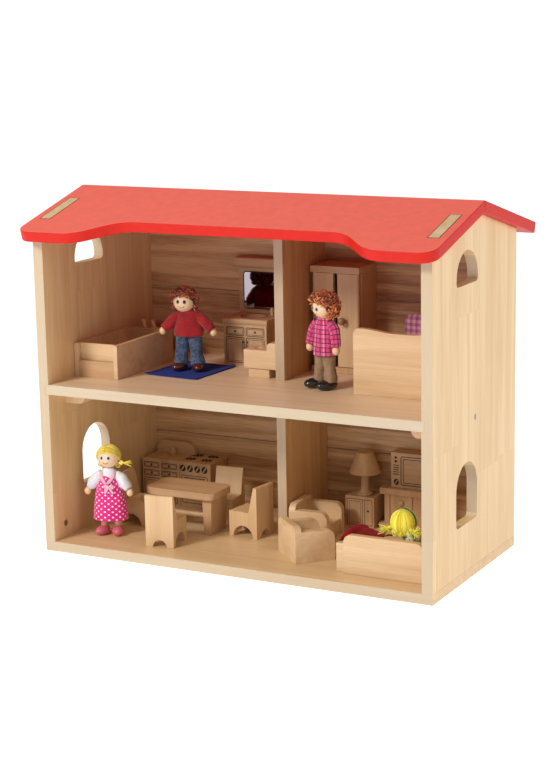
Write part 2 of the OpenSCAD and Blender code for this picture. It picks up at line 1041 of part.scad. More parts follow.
module red_blanket() {
    last = len(blanket_line) - 1;
    color("firebrick")
        placed(0, blanket_y[0], foot_gap)
            along_y(blanket_y[1] - blanket_y[0])
                polygon(concat(
                    blanket_line,
                    [for (i = [last:-1:0]) blanket_line[i] + blanket_t * [i < 3 ? -0.9 : 0, i < 2 ? 0.2 : 1]]
                ));
}

// ---- dolls ----

// Plain figure facing -Y. hand is a hand's distance to the side, towards the front and up,
// hem is the clothes' lower edge: its height and width.
module standing_doll(height, hand, hair_r, hem) {
    shoulder_z = 0.71 * height;
    shoulder_w = 24;
    body_d = 21;
    shoe_r = 6;
    leg_r = 5.4;
    leg_x = 8.8;
    arm_r = 4.5;
    hand_r = 5;
    head_z = height - hair_r;
    translate([0, -body_d / 2, 0])
        along_y(body_d)
            polygon([
                [-hem[1] / 2, hem[0]], [hem[1] / 2, hem[0]],
                [shoulder_w / 2, shoulder_z], [-shoulder_w / 2, shoulder_z]
            ]);
    for (side = [-1, 1]) {
        translate([side * leg_x, -13, shoe_r])
            rotate([-90, 0, 0])
                cylinder(h = 20, r = shoe_r);
        translate([side * leg_x, 0, shoe_r])
            cylinder(h = hem[0], r = leg_r);
        bar([side * 6, 0, shoulder_z - 7], [side * hand[0], -hand[1], hand[2]], arm_r);
        translate([side * hand[0], -hand[1], hand[2]])
            sphere(hand_r);
    }
    translate([0, 0, shoulder_z - 2])
        cylinder(h = head_z - shoulder_z, r = 5);
    translate([0, 0, head_z])
        sphere(hair_r);
}

module red_shirt_doll() {
    color("firebrick")
        placed(red_doll_at.x, red_doll_at.y, upstairs_z + mat_size.z + foot_gap, 12)
            standing_doll(red_doll_h, [31, 2.5, 50], 16.5, [44, 36]);
}

module plaid_shirt_doll() {
    color("hotpink")
        placed(plaid_doll_at.x, plaid_doll_at.y, upstairs_z, -10)
            standing_doll(plaid_doll_h, [21, 2.5, 48], 18, [40, 32]);
}

module pink_dress_doll() {
    color("deeppink")
        placed(pink_doll_at.x, pink_doll_at.y, ground_z, 14)
            standing_doll(pink_doll_h, [27, 3.5, 54], 15, [20, 42]);
}

// Doll sitting along the sofa, facing -X, with its legs stretched towards the left arm
module sofa_doll() {
    seat_z = ground_z + sofa_seat_h + foot_gap;
    hip = [207, 61, seat_z + 7];
    neck = [200, 59, seat_z + 31];
    head = [194, 57.2, seat_z + 40];
    knee = [144, 68, 45];
    foot = [126, 68, 51.8];
    color("gold")
        placed()
            union() {
                translate(hip)
                    sphere(7);
                bar(hip, neck, 9.5);
                translate(head)
                    sphere(13.2);
                translate(head + [1.5, 0.4, 1.2])
                    sphere(16);
                for (dy = [-7, 7]) {
                    bar(hip + [0, dy / 2, 0], knee + [0, dy, 0], 4.4);
                    bar(knee + [0, dy, 0], foot + [0, dy, 0], 3.2);
                    translate(foot + [0, dy, 0])
                        sphere(4.2);
                }
            }
}

floor_board();
left_wall();
right_wall();
upper_floor();
lower_partition();
upper_partition();
back_plank(1);  // back_plank_1
back_plank(2);  // back_plank_2
back_plank(3);  // back_plank_3
back_plank(4);  // back_plank_4
front_roof_panel();
back_roof_panel();
shelf_cleats();
wall_fasteners();
bathtub_sides();
bathtub_ends();
bathtub_liner();
bathtub_taps();
bath_mat();
vanity_cabinet();
vanity_counter();
vanity_mirror_board();
vanity_mirror();
vanity_canopy();
vanity_tap();
toilet_body();
toilet_pedestal();
wardrobe_case();
wardrobe_cornice();
wardrobe_left_door();
wardrobe_right_door();
wardrobe_left_knob();
wardrobe_right_knob();
wardrobe_hinge_pins();
bed_foot_board();
bed_head_board();
bed_base();
bed_pillow();
kitchen_cabinet();
kitchen_fittings();
table_top();
table_trestle();
chair(1);  // chair_1
chair(2);  // chair_2
chair(3);  // chair_3
chair(4);  // chair_4
armchair(1);  // armchair_1
armchair(2);  // armchair_2
side_cabinet();
lamp_stand();
lamp_shade();
television_cabinet();
television();
sofa_frame();
sofa_seat();
red_blanket();
red_shirt_doll();
plaid_shirt_doll();
pink_dress_doll();
sofa_doll();
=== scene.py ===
"""Looks of the wooden dollhouse: materials, soft pieces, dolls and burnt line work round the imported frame."""

import math
import random

import bpy
from mathutils import Matrix, Vector, noise


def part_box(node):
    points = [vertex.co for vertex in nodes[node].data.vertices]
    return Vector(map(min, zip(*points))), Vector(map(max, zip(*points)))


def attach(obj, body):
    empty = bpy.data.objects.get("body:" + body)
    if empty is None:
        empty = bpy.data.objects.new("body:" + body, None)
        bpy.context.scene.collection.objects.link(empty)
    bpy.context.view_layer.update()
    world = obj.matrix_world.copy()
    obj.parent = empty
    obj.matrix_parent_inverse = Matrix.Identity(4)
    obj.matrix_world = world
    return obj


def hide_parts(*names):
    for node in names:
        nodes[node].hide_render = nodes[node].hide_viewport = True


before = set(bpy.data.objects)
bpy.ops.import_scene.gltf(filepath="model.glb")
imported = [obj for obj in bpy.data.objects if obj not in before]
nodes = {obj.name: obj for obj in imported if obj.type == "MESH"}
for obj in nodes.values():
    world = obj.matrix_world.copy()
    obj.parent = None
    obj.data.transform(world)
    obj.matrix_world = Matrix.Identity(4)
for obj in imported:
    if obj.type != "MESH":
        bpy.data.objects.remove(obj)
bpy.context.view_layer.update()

MM = 0.001
UP = Vector((0, 0, 1))
RIGHT = Vector((1, 0, 0))
FRONT = Vector((0, -1, 0))


# ---- material graphs ----


class Graph:
    """A small helper that builds one material's node tree."""

    def __init__(self, name, roughness=0.5, **settings):
        self.material = bpy.data.materials.new(name)
        self.material.use_nodes = True
        self.tree = self.material.node_tree
        self.shader = self.tree.nodes["Principled BSDF"]
        self.put(self.shader, "Roughness", roughness)
        for key, value in settings.items():
            self.put(self.shader, key.replace("_", " "), value)

    def put(self, node, socket, value):
        """Link or set one input, by its name or its number."""
        target = node.inputs[socket]
        if isinstance(value, bpy.types.NodeSocket):
            self.tree.links.new(value, target)
        elif hasattr(target.default_value, "__len__") and not hasattr(value, "__len__"):
            target.default_value = [value] * len(target.default_value)
        else:
            if hasattr(value, "__len__") and len(value) == 3 and len(target.default_value) == 4:
                value = (*value, 1)
            target.default_value = value

    def add(self, kind, output=0, settings=None, **inputs):
        node = self.tree.nodes.new(kind)
        for key, value in (settings or {}).items():
            setattr(node, key, value)
        for key, value in inputs.items():
            socket = int(key[1:]) if key[0] == "i" and key[1:].isdigit() else key.replace("_", " ")
            self.put(node, socket, value)
        return node.outputs[output]

    def math(self, operation, a, b=0.0):
        return self.add("ShaderNodeMath", settings={"operation": operation}, i0=a, i1=b)

    def plus(self, a, b):
        return self.math("ADD", a, b)

    def minus(self, a, b):
        return self.math("SUBTRACT", a, b)

    def times(self, a, b):
        return self.math("MULTIPLY", a, b)

    def object_point(self):
        return self.add("ShaderNodeTexCoord", output="Object")

    def split(self, output):
        """The parts x, y and z of one of the texture coordinates."""
        node = self.tree.nodes.new("ShaderNodeSeparateXYZ")
        self.tree.links.new(self.add("ShaderNodeTexCoord", output=output), node.inputs[0])
        return list(node.outputs)

    def place(self):
        """The piece's own coordinates in metres, as x, y and z."""
        return self.split("Object")

    def facing(self, axis, absolute=True):
        """1 on the faces that look along an axis of the object, 0 elsewhere."""
        part = self.split("Normal")[axis]
        return self.math("GREATER_THAN", self.math("ABSOLUTE", part) if absolute else part, 0.7)

    def vector(self, x, y, z):
        return self.add("ShaderNodeCombineXYZ", i0=x, i1=y, i2=z)

    def noise(self, vector, scale, detail=3.0, roughness=0.55, distortion=0.0):
        return self.add(
            "ShaderNodeTexNoise",
            Vector=vector, Scale=scale, Detail=detail, Roughness=roughness, Distortion=distortion,
        )

    def random(self, a, b):
        settings = {"noise_dimensions": "2D"}
        return self.add("ShaderNodeTexWhiteNoise", settings=settings, Vector=self.vector(a, b, 0.0))

    def ramp(self, factor, *stops):
        node = self.tree.nodes.new("ShaderNodeValToRGB")
        self.tree.links.new(factor, node.inputs[0])
        elements = node.color_ramp.elements
        while len(elements) < len(stops):
            elements.new(0.5)
        for element, (position, colour) in zip(elements, stops):
            element.position = position
            element.color = (*colour, 1)
        return node.outputs[0]

    def mix(self, factor, a, b, blend="MIX"):
        node = self.tree.nodes.new("ShaderNodeMix")
        node.data_type = "RGBA"
        node.blend_type = blend
        for index, value in ((0, factor), (6, a), (7, b)):
            self.put(node, index, value)
        return node.outputs[2]

    def bump(self, height, strength, distance):
        normal = self.add("ShaderNodeBump", Height=height, Strength=strength, Distance=distance)
        self.tree.links.new(normal, self.shader.inputs["Normal"])

    def colour(self, value):
        self.put(self.shader, "Base Color", value)
        return self.material


def near_whole(g, value, reach):
    """1 where a value is less than that reach from a whole number, 0 elsewhere."""
    return g.math("GREATER_THAN", g.math("ABSOLUTE", g.minus(g.math("FRACT", value), 0.5)), 0.5 - reach)


def wood(name, light, dark, along=2, across=1, strip=0.0, length=0.35, figure=0.5, shift=0.0, edge=None):
    """Wood with its grain along one axis, glued up from strips across another where strip is above 0.

    With an edge colour, faces to the front and back are paler, greyer sanded edges; the colour is also darkened
    there as painted shade, toned to how the front edges are lit.
    """
    g = Graph(name, roughness=0.42, Coat_Weight=0.06, Coat_Roughness=0.35)
    xyz = g.place()
    a, b, c = xyz[along], xyz[across], xyz[3 - along - across]
    if strip:
        row = g.math("FLOOR", g.math("DIVIDE", b, strip))
        offset = g.times(g.random(row, 3.1 + shift), length)
        run = g.math("DIVIDE", g.plus(a, offset), length)
        tone = g.random(row, g.math("FLOOR", run))
    else:
        tone = g.plus(0.5, 0.0)
    jump = g.times(tone, 7.0)
    rings = g.vector(g.plus(g.times(a, 3.0), jump), g.plus(g.times(b, 60.0), jump), g.times(c, 60.0))
    pores = g.vector(g.plus(g.times(a, 40.0), jump), g.times(b, 900.0), g.times(c, 900.0))
    broad = g.noise(rings, 1.0, distortion=0.9)
    fine = g.noise(pores, 1.0, detail=2.0)
    streak = g.plus(broad, g.times(g.minus(fine, 0.5), 0.35))
    middle = [(l + d) / 2 for l, d in zip(light, dark)]
    reach = 0.28 / (0.5 + figure)
    colour = g.ramp(streak, (0.5 - reach, dark), (0.5, middle), (0.5 + reach, light))
    if strip:
        tint = g.ramp(tone, (0.0, (0.95, 0.93, 0.90)), (0.5, (1.0, 1.0, 1.0)), (1.0, (1.03, 1.035, 1.045)))
        colour = g.mix(1.0, colour, tint, "MULTIPLY")
        seam = near_whole(g, g.math("DIVIDE", b, strip), 0.00022 / strip)
        joint = near_whole(g, run, 0.0002 / length)
        line = g.times(g.math("MAXIMUM", seam, joint), 0.16)
        colour = g.mix(line, colour, [x * 0.55 for x in dark])
    # Front and back faces: sanded edge grain, partly painted shade toned to the lit front edges.
    if edge:
        colour = g.mix(g.times(g.facing(1), 0.7), colour, edge)
    g.bump(fine, 0.12, 0.0002)
    return g.colour(colour)


def paint(name, colour, reflection_colour):
    """Satin paint, with a painted sky reflection: a paler colour on the faces that look up."""
    g = Graph(name, roughness=0.45, Coat_Weight=0.05, Coat_Roughness=0.25, Specular_IOR_Level=0.2)
    mottle = g.noise(g.object_point(), 90.0, detail=2.0)
    g.bump(mottle, 0.08, 0.0003)
    own_colour, painted_sky_reflection = (
        g.ramp(mottle, (0.35, [x * 0.94 for x in tone]), (0.65, tone))
        for tone in (colour, reflection_colour)
    )
    # Faces that look up take the paler colour, a painted reflection of the sky.
    return g.colour(g.mix(g.facing(2, absolute=False), own_colour, painted_sky_reflection))


def felt(name, colour, dark):
    g = Graph(name, roughness=0.97, Sheen_Weight=0.04, Sheen_Roughness=0.5, Specular_IOR_Level=0.15)
    point = g.object_point()
    fibres = g.noise(point, 1400.0, detail=4.0, distortion=1.5)
    clouds = g.noise(point, 120.0, detail=2.0)
    g.bump(fibres, 0.5, 0.0004)
    both = g.plus(g.times(fibres, 0.7), g.times(clouds, 0.3))
    return g.colour(g.ramp(both, (0.38, dark), (0.62, colour)))


def weave_bump(g, xyz, pitch=0.0007):
    """Threads over and under each other, finer than the pattern."""
    waves = [g.math("SINE", g.times(x, 2 * math.pi / pitch)) for x in (xyz[0], xyz[2])]
    g.bump(g.times(*waves), 0.4, 0.0002)


def cloth(name, colour, dark, mottle_scale=500.0, contrast=0.5):
    """Plain cotton or denim."""
    g = Graph(name, roughness=0.9, Sheen_Weight=0.2, Sheen_Roughness=0.5)
    xyz = g.place()
    point = g.vector(*xyz)
    speckle = g.noise(point, mottle_scale)
    fade = g.noise(point, 70.0, detail=2.0)
    both = g.plus(g.times(speckle, contrast), g.times(fade, 1.0 - contrast))
    weave_bump(g, xyz)
    return g.colour(g.ramp(both, (0.36, dark), (0.64, colour)))


def stripes(g, coordinate, pitch, share, shift=0.0):
    """1 inside a stripe of that share of the pitch, 0 outside."""
    phase = g.math("FRACT", g.plus(g.math("DIVIDE", coordinate, pitch), shift))
    return g.math("LESS_THAN", phase, share)


def plaid(name, ground, band, line, pale):
    """Checked shirt cloth: broad paler bands and thin dark lines both ways."""
    g = Graph(name, roughness=0.9, Sheen_Weight=0.15)
    u, v, _ = g.split("UV")
    small, large = 0.0052, 0.0104
    colour = ground
    for coordinate, pitch, share, shift, strength, tone in (
        (u, small, 0.5, 0.0, 0.5, band),
        (v, large, 0.5, 0.0, 0.45, band),
        (u, large, 0.14, 0.3, 0.6, pale),
        (u, small, 0.14, 0.1, 0.7, line),
        (v, small, 0.2, 0.1, 0.85, line),
    ):
        colour = g.mix(g.times(stripes(g, coordinate, pitch, share, shift), strength), colour, tone)
    weave_bump(g, g.place())
    return g.colour(colour)


def gingham(name, pale, mid, deep):
    """Two sets of broad stripes, darker where they cross."""
    g = Graph(name, roughness=0.92, Sheen_Weight=0.2)
    xyz = g.place()
    across, down = (stripes(g, xyz[axis], 0.0074, 0.5) for axis in (0, 2))
    fuzz = g.noise(g.vector(*xyz), 700.0, detail=2.0)
    count = g.plus(g.times(g.plus(across, down), 0.5), g.times(g.minus(fuzz, 0.5), 0.25))
    weave_bump(g, xyz, 0.0008)
    return g.colour(g.ramp(count, (0.1, pale), (0.5, mid), (0.9, deep)))


def dots(name, ground, dot):
    """Cotton printed with staggered round dots, laid out on the cloth's own UV."""
    g = Graph(name, roughness=0.9, Sheen_Weight=0.2)
    u, v = (g.math("DIVIDE", part, 0.0068) for part in g.split("UV")[:2])
    half_rows = g.times(v, 2.0)
    row = g.math("MODULO", g.math("FLOOR", half_rows), 2.0)
    du = g.minus(g.math("FRACT", g.plus(u, g.times(row, 0.5))), 0.5)
    dv = g.times(g.minus(g.math("FRACT", half_rows), 0.5), 0.5)
    distance = g.math("SQRT", g.plus(g.times(du, du), g.times(dv, dv)))
    weave_bump(g, g.place())
    return g.colour(g.mix(g.math("LESS_THAN", distance, 0.15), ground, dot))


def yarn(name, first, second, third):
    """Twisted yarn whose strand colour comes from the mesh's tone attribute."""
    g = Graph(name, roughness=0.85, Sheen_Weight=0.3)
    tone = g.add("ShaderNodeAttribute", output="Fac", settings={"attribute_name": "tone"})
    fuzz = g.noise(g.object_point(), 2500.0, detail=2.0)
    g.bump(fuzz, 0.5, 0.0003)
    mixed = g.plus(tone, g.times(g.minus(fuzz, 0.5), 0.3))
    return g.colour(g.ramp(mixed, (0.1, first), (0.5, second), (0.9, third)))


def plain(name, colour, roughness=0.5, **settings):
    return Graph(name, roughness=roughness, **settings).colour(colour)


# Edge colour for front and back faces: sanded edge grain, partly painted shade toned to the lit front edges.
SANDED_EDGE_AND_SHADE = (0.47, 0.39, 0.29)
M = {
    "base": wood(
        "base_board_wood", (0.80, 0.58, 0.34), (0.64, 0.41, 0.20),
        along=0, strip=0.062, length=0.31, edge=SANDED_EDGE_AND_SHADE,
    ),
    "floor": wood(
        "upper_floor_wood", (0.86, 0.70, 0.47), (0.70, 0.51, 0.29),
        along=0, strip=0.071, length=0.37, shift=2.0, edge=SANDED_EDGE_AND_SHADE,
    ),
    "wall": wood("wall_wood", (0.82, 0.60, 0.34), (0.66, 0.42, 0.19), strip=0.062, length=0.31, edge=SANDED_EDGE_AND_SHADE),
    "partition": wood(
        "partition_wood", (0.70, 0.44, 0.21), (0.46, 0.23, 0.08),
        strip=0.066, length=0.4, shift=4.0, edge=SANDED_EDGE_AND_SHADE,
    ),
    "plank": wood("back_plank_wood", (0.70, 0.45, 0.23), (0.33, 0.15, 0.05), along=0, across=2, figure=1.3),
    "cleat": wood("cleat_wood", (0.78, 0.56, 0.34), (0.66, 0.43, 0.24), along=1, across=0),
    # Second colour: painted sky reflection on the roof's upward faces.
    "red": paint("roof_paint", (0.60, 0.012, 0.005), (0.95, 0.15, 0.10)),
    "steel": plain("fastener_steel", (0.42, 0.38, 0.32), 0.35, Metallic=1.0),
    "oak_x": wood("furniture_wood", (0.66, 0.43, 0.24), (0.46, 0.26, 0.12), along=0, across=2),
    "oak_z": wood("upright_furniture_wood", (0.64, 0.41, 0.23), (0.46, 0.26, 0.12), across=0),
    "pale_x": wood("pale_furniture_wood", (0.80, 0.58, 0.35), (0.60, 0.38, 0.19), along=0, across=2),
    "pale_z": wood("pale_upright_wood", (0.76, 0.53, 0.30), (0.60, 0.38, 0.19), across=0, figure=0.4),
    "knob": wood("knob_wood", (0.42, 0.24, 0.12), (0.28, 0.14, 0.06), along=1, across=0),
    "mirror": plain("mirror_face", (0.27, 0.24, 0.27), 0.04, Metallic=1.0),
    "ink": plain("burnt_line", (0.018, 0.011, 0.007), 0.7),
    "gap": plain("dark_edge", (0.02, 0.014, 0.012), 0.6),
    "blue": felt("mat_felt", (0.020, 0.050, 0.34), (0.008, 0.018, 0.16)),
    "crimson": felt("blanket_felt", (0.34, 0.006, 0.012), (0.16, 0.003, 0.006)),
    "gingham": gingham("pillow_cloth", (0.80, 0.48, 0.60), (0.58, 0.24, 0.38), (0.38, 0.12, 0.27)),
}
SOFT_OR_METAL = ("steel", "mirror", "blue", "crimson", "gingham")
WELD_REACH = 0.005 * MM
FLAT_ANGLE, SHARP_ANGLE = math.radians(0.6), math.radians(38)
WORN_EDGE, WORN_ROOF_EDGE = 0.45 * MM, 1.1 * MM
MATERIAL_OF = {
    "base": ["floor_board"],
    "floor": ["upper_floor"],
    "wall": ["left_wall", "right_wall"],
    "partition": ["lower_partition", "upper_partition"],
    "plank": [f"back_plank_{i}" for i in (1, 2, 3, 4)],
    "cleat": ["shelf_cleats"],
    "red": ["front_roof_panel", "back_roof_panel"],
    "steel": ["wall_fasteners", "wardrobe_hinge_pins"],
    "oak_x": [
        "vanity_counter", "vanity_canopy", "wardrobe_cornice", "bed_base", "kitchen_fittings", "table_top",
        "television", "sofa_seat", "bathtub_ends", "vanity_mirror_board",
    ],
    "oak_z": [
        "vanity_cabinet", "wardrobe_case", "kitchen_cabinet", "side_cabinet", "television_cabinet",
        "lamp_stand", "lamp_shade", "table_trestle",
    ],
    "pale_x": [
        "bed_foot_board", "bed_head_board", "sofa_frame", "armchair_1", "armchair_2", "toilet_body",
        "toilet_pedestal", "bathtub_liner", "bathtub_sides",
    ],
    "pale_z": [
        "chair_1", "chair_2", "chair_3", "chair_4", "wardrobe_left_door", "wardrobe_right_door",
        "bathtub_taps", "vanity_tap",
    ],
    "knob": ["wardrobe_left_knob", "wardrobe_right_knob"],
    "mirror": ["vanity_mirror"],
    "blue": ["bath_mat"],
    "crimson": ["red_blanket"],
    "gingham": ["bed_pillow"],
}


def dress_nodes():
    """Give every CAD node its material, and a small worn edge to the wooden ones."""
    for key, names in MATERIAL_OF.items():
        for name in names:
            node = nodes[name]
            node.data.materials.clear()
            node.data.materials.append(M[key])
            if key in SOFT_OR_METAL:
                continue
            weld = node.modifiers.new("weld", "WELD")
            weld.merge_threshold = WELD_REACH
            flats = node.modifiers.new("joined_flats", "DECIMATE")
            flats.decimate_type = "DISSOLVE"
            flats.angle_limit = FLAT_ANGLE
            edge = node.modifiers.new("eased_edges", "BEVEL")
            edge.width = WORN_ROOF_EDGE if key == "red" else WORN_EDGE
            edge.segments = 2
            edge.limit_method = "ANGLE"
            edge.angle_limit = SHARP_ANGLE
            flatten = node.modifiers.new("even_shading", "WEIGHTED_NORMAL")
            flatten.weight = 100
            flatten.keep_sharp = False


dress_nodes()


# ---- mesh building ----


def around(count):
    """Evenly spaced angles, once round a circle."""
    return [2 * math.pi * i / count for i in range(count)]


class Shape:
    """One piece's mesh, gathered in millimetres in the piece's own frame."""

    def __init__(self):
        self.points, self.faces, self.loops_uv, self.tones = [], [], [], []

    def add_points(self, points, tone=0.5):
        start = len(self.points)
        self.points += points
        self.tones += [tone] * len(points)
        return start

    def face(self, corners, uv=None):
        self.faces.append(tuple(corners))
        self.loops_uv += uv or [(0.0, 0.0)] * len(corners)

    def loft(self, rings, tone=0.5, capped=True):
        """Join closed rings of equal length into a tube, with flat ends."""
        count = len(rings[0])
        starts = [self.add_points(ring, tone) for ring in rings]
        middle = rings[len(rings) // 2]
        girth = sum((middle[i] - middle[i - 1]).length for i in range(count))
        heights = [0.0]
        for low, high in zip(rings, rings[1:]):
            heights.append(heights[-1] + (sum(high, Vector()) / count - sum(low, Vector()) / count).length)
        for row in range(len(rings) - 1):
            for i in range(count):
                j = (i + 1) % count
                u0, u1 = i / count * girth * MM, (i + 1) / count * girth * MM
                v0, v1 = heights[row] * MM, heights[row + 1] * MM
                self.face(
                    (starts[row] + i, starts[row] + j, starts[row + 1] + j, starts[row + 1] + i),
                    [(u0, v0), (u1, v0), (u1, v1), (u0, v1)],
                )
        if capped:
            self.face([starts[0] + i for i in reversed(range(count))])
            self.face([starts[-1] + i for i in range(count)])

    def ellipses(self, rows, sides=32, crease=0.0, pitch=9.0, seed=0.0):
        """A body of level ellipses: rows of (x, y, z, half width, half depth)."""
        rings = []
        for x, y, z, a, b in rows:
            centre = Vector((x, y, z))
            ring = []
            for angle in around(sides):
                out = Vector((math.cos(angle), math.sin(angle), 0))
                point = centre + Vector((a * out.x, b * out.y, 0))
                fold = noise.noise(Vector((point.x / pitch, point.y / pitch, z / pitch * 0.6 + seed)))
                ring.append(point + out * crease * fold)
            rings.append(ring)
        self.loft(rings)

    def sweep(
        self, path, radii, sides=16, flat=1.0, crease=0.0, pitch=7.0,
        tone=0.5, round_ends=False, across=RIGHT,
    ):
        """A tube along a path. flat squeezes it at right angles to across."""
        path = [Vector(p) for p in path]
        if not hasattr(radii, "__len__"):
            radii = [radii] * len(path)
        if round_ends:
            path, radii = self.rounded(path, list(radii))
        rings = []
        for k, (centre, r) in enumerate(zip(path, radii)):
            along = (path[min(k + 1, len(path) - 1)] - path[max(k - 1, 0)]).normalized()
            side = across - along * across.dot(along)
            side = side.normalized() if side.length > 0.05 else along.orthogonal().normalized()
            deep = along.cross(side)
            ring = []
            for angle in around(sides):
                out = side * math.cos(angle) + deep * math.sin(angle) * flat
                point = centre + out * r
                fold = noise.noise(point / pitch) if crease else 0.0
                ring.append(point + out * crease * fold)
            rings.append(ring)
        self.loft(rings, tone)

    @staticmethod
    def rounded(path, radii):
        """The same path with a quarter round added at both ends."""
        first, last = (path[0] - path[1]).normalized(), (path[-1] - path[-2]).normalized()
        turns = [math.radians(a) for a in (28, 56, 80)]
        head = [(path[0] + first * radii[0] * math.sin(t), radii[0] * math.cos(t)) for t in reversed(turns)]
        tail = [(path[-1] + last * radii[-1] * math.sin(t), radii[-1] * math.cos(t)) for t in turns]
        points = [p for p, r in head] + path + [p for p, r in tail]
        return points, [r for p, r in head] + radii + [r for p, r in tail]

    def ball(self, centre, radii, sides=24, rows=16, turn=0.0, floor=None, tone=0.5):
        """An ellipsoid, flattened where it would go below floor."""
        spin = Matrix.Rotation(math.radians(turn), 3, "Z")
        centre = Vector(centre)

        def at(lat, lon):
            p = Vector((
                radii[0] * math.cos(lat) * math.cos(lon),
                radii[1] * math.cos(lat) * math.sin(lon),
                radii[2] * math.sin(lat),
            ))
            p = centre + spin @ p
            if floor is not None and p.z < floor:
                p.z = floor
            return p

        rings = []
        for k in range(1, rows):
            lat = -math.pi / 2 + math.pi * k / rows
            rings.append([at(lat, lon) for lon in around(sides)])
        start = len(self.points)
        self.loft(rings, tone, capped=False)
        low = self.add_points([at(-math.pi / 2, 0)], tone)
        high = self.add_points([at(math.pi / 2, 0)], tone)
        last = start + (rows - 2) * sides
        for i in range(sides):
            j = (i + 1) % sides
            self.face((low, start + j, start + i))
            self.face((high, last + i, last + j))

    def curve(self, points, radii, **settings):
        """A tube along a smooth path through a few points."""
        fine, fat = smooth_path([Vector(p) for p in points], radii)
        self.sweep(fine, fat, **settings)

    def loop(self, centre, normal, radius, thick, sides=11, thick_sides=5, tone=0.5):
        """A closed ring of yarn."""
        normal = normal.normalized()
        side = normal.orthogonal().normalized()
        deep = normal.cross(side)
        rings = []
        for angle in around(sides):
            out = side * math.cos(angle) + deep * math.sin(angle)
            middle = centre + out * radius
            rings.append([
                middle + (out * math.cos(turn) + normal * math.sin(turn)) * thick
                for turn in around(thick_sides)
            ])
        starts = [self.add_points(ring, tone) for ring in rings]
        for k in range(sides):
            n = (k + 1) % sides
            for i in range(thick_sides):
                j = (i + 1) % thick_sides
                self.face((starts[k] + i, starts[n] + i, starts[n] + j, starts[k] + j))

    def make(self, name, material, body, place=Matrix.Identity(4), smooth=True):
        mesh = bpy.data.meshes.new(name)
        mesh.from_pydata([place @ (p * MM) for p in self.points], [], self.faces)
        layer = mesh.uv_layers.new(name="cloth")
        for loop_uv, uv in zip(layer.data, self.loops_uv):
            loop_uv.uv = uv
        tone = mesh.attributes.new("tone", "FLOAT", "POINT")
        tone.data.foreach_set("value", self.tones)
        mesh.validate()
        mesh.update()
        mesh.polygons.foreach_set("use_smooth", [smooth] * len(mesh.polygons))
        mesh.materials.append(material)
        made = bpy.data.objects.new(name, mesh)
        bpy.context.scene.collection.objects.link(made)
        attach(made, body)
        return made


# ---- burnt lines and dark spots on the furniture ----


OVER_INK = 0.12


class Ink:
    """Thin dark inlays on one flat face. u and v run right and up on it, in millimetres."""

    def __init__(self, origin, u_axis=RIGHT, v_axis=UP):
        self.shape = Shape()
        self.origin, self.u, self.v = Vector(origin) / MM, u_axis, v_axis
        self.out = u_axis.cross(v_axis)
        self.proud, self.sunk = 0.07, 0.2

    def at(self, u, v, lift):
        return self.origin + self.u * u + self.v * v + self.out * lift

    def prism(self, outline):
        low = [self.at(u, v, -self.sunk) for u, v in outline]
        high = [self.at(u, v, self.proud) for u, v in outline]
        self.shape.loft([low, high])

    def line(self, u0, v0, u1, v1, width=0.9):
        run = Vector((u1 - u0, v1 - v0)).normalized() * width / 2
        n = Vector((-run.y, run.x))
        self.prism([
            (u0 - n.x, v0 - n.y), (u1 - n.x, v1 - n.y), (u1 + n.x, v1 + n.y), (u0 + n.x, v0 + n.y),
        ])

    def spot(self, u, v, r, r_v=None, sides=20):
        r_v = r_v or r
        self.prism([
            (u + r * math.cos(turn), v + r_v * math.sin(turn))
            for turn in around(sides)
        ])

    def rounded(self, u0, v0, u1, v1, r):
        points = []
        corners = (u1 - r, v1 - r, 0), (u0 + r, v1 - r, 90), (u0 + r, v0 + r, 180), (u1 - r, v0 + r, 270)
        for cu, cv, start in corners:
            for k in range(5):
                angle = math.radians(start + 22.5 * k)
                points.append((cu + r * math.cos(angle), cv + r * math.sin(angle)))
        return points

    def frame(self, u0, v0, u1, v1, r=1.5, width=0.85):
        """A rounded rectangle drawn as a line of that width."""
        outer = self.rounded(u0, v0, u1, v1, r)
        self.band(outer, self.rounded(u0 + width, v0 + width, u1 - width, v1 - width, max(r - width, 0.2)))

    def ring(self, u, v, r, width, sides=48):
        self.band(*[
            [(u + k * math.cos(turn), v + k * math.sin(turn)) for turn in around(sides)]
            for k in (r, r - width)
        ])

    def band(self, outer, inner):
        """The strip between two outlines."""
        edges = (outer, -self.sunk), (outer, self.proud), (inner, self.proud), (inner, -self.sunk)
        starts = [
            self.shape.add_points([self.at(u, v, lift) for u, v in outline])
            for outline, lift in edges
        ]
        count = len(outer)
        for k in range(4):
            low, high = starts[k], starts[(k + 1) % 4]
            for i in range(count):
                j = (i + 1) % count
                self.shape.face((low + i, low + j, high + j, high + i))

    def make(self, name, body, material=None):
        return self.shape.make(name, material or M["ink"], body, smooth=False)


def front_ink(node):
    """Ink on a node's front face, from its lower left corner, with the face's width and height."""
    low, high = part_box(node)
    return Ink((low.x, low.y, low.z)), (high.x - low.x) / MM, (high.z - low.z) / MM


def top_ink(node):
    """Ink on a node's top face, from its front left corner, with the face's width and depth."""
    low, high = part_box(node)
    return Ink((low.x, low.y, high.z), RIGHT, -FRONT), (high.x - low.x) / MM, (high.y - low.y) / MM


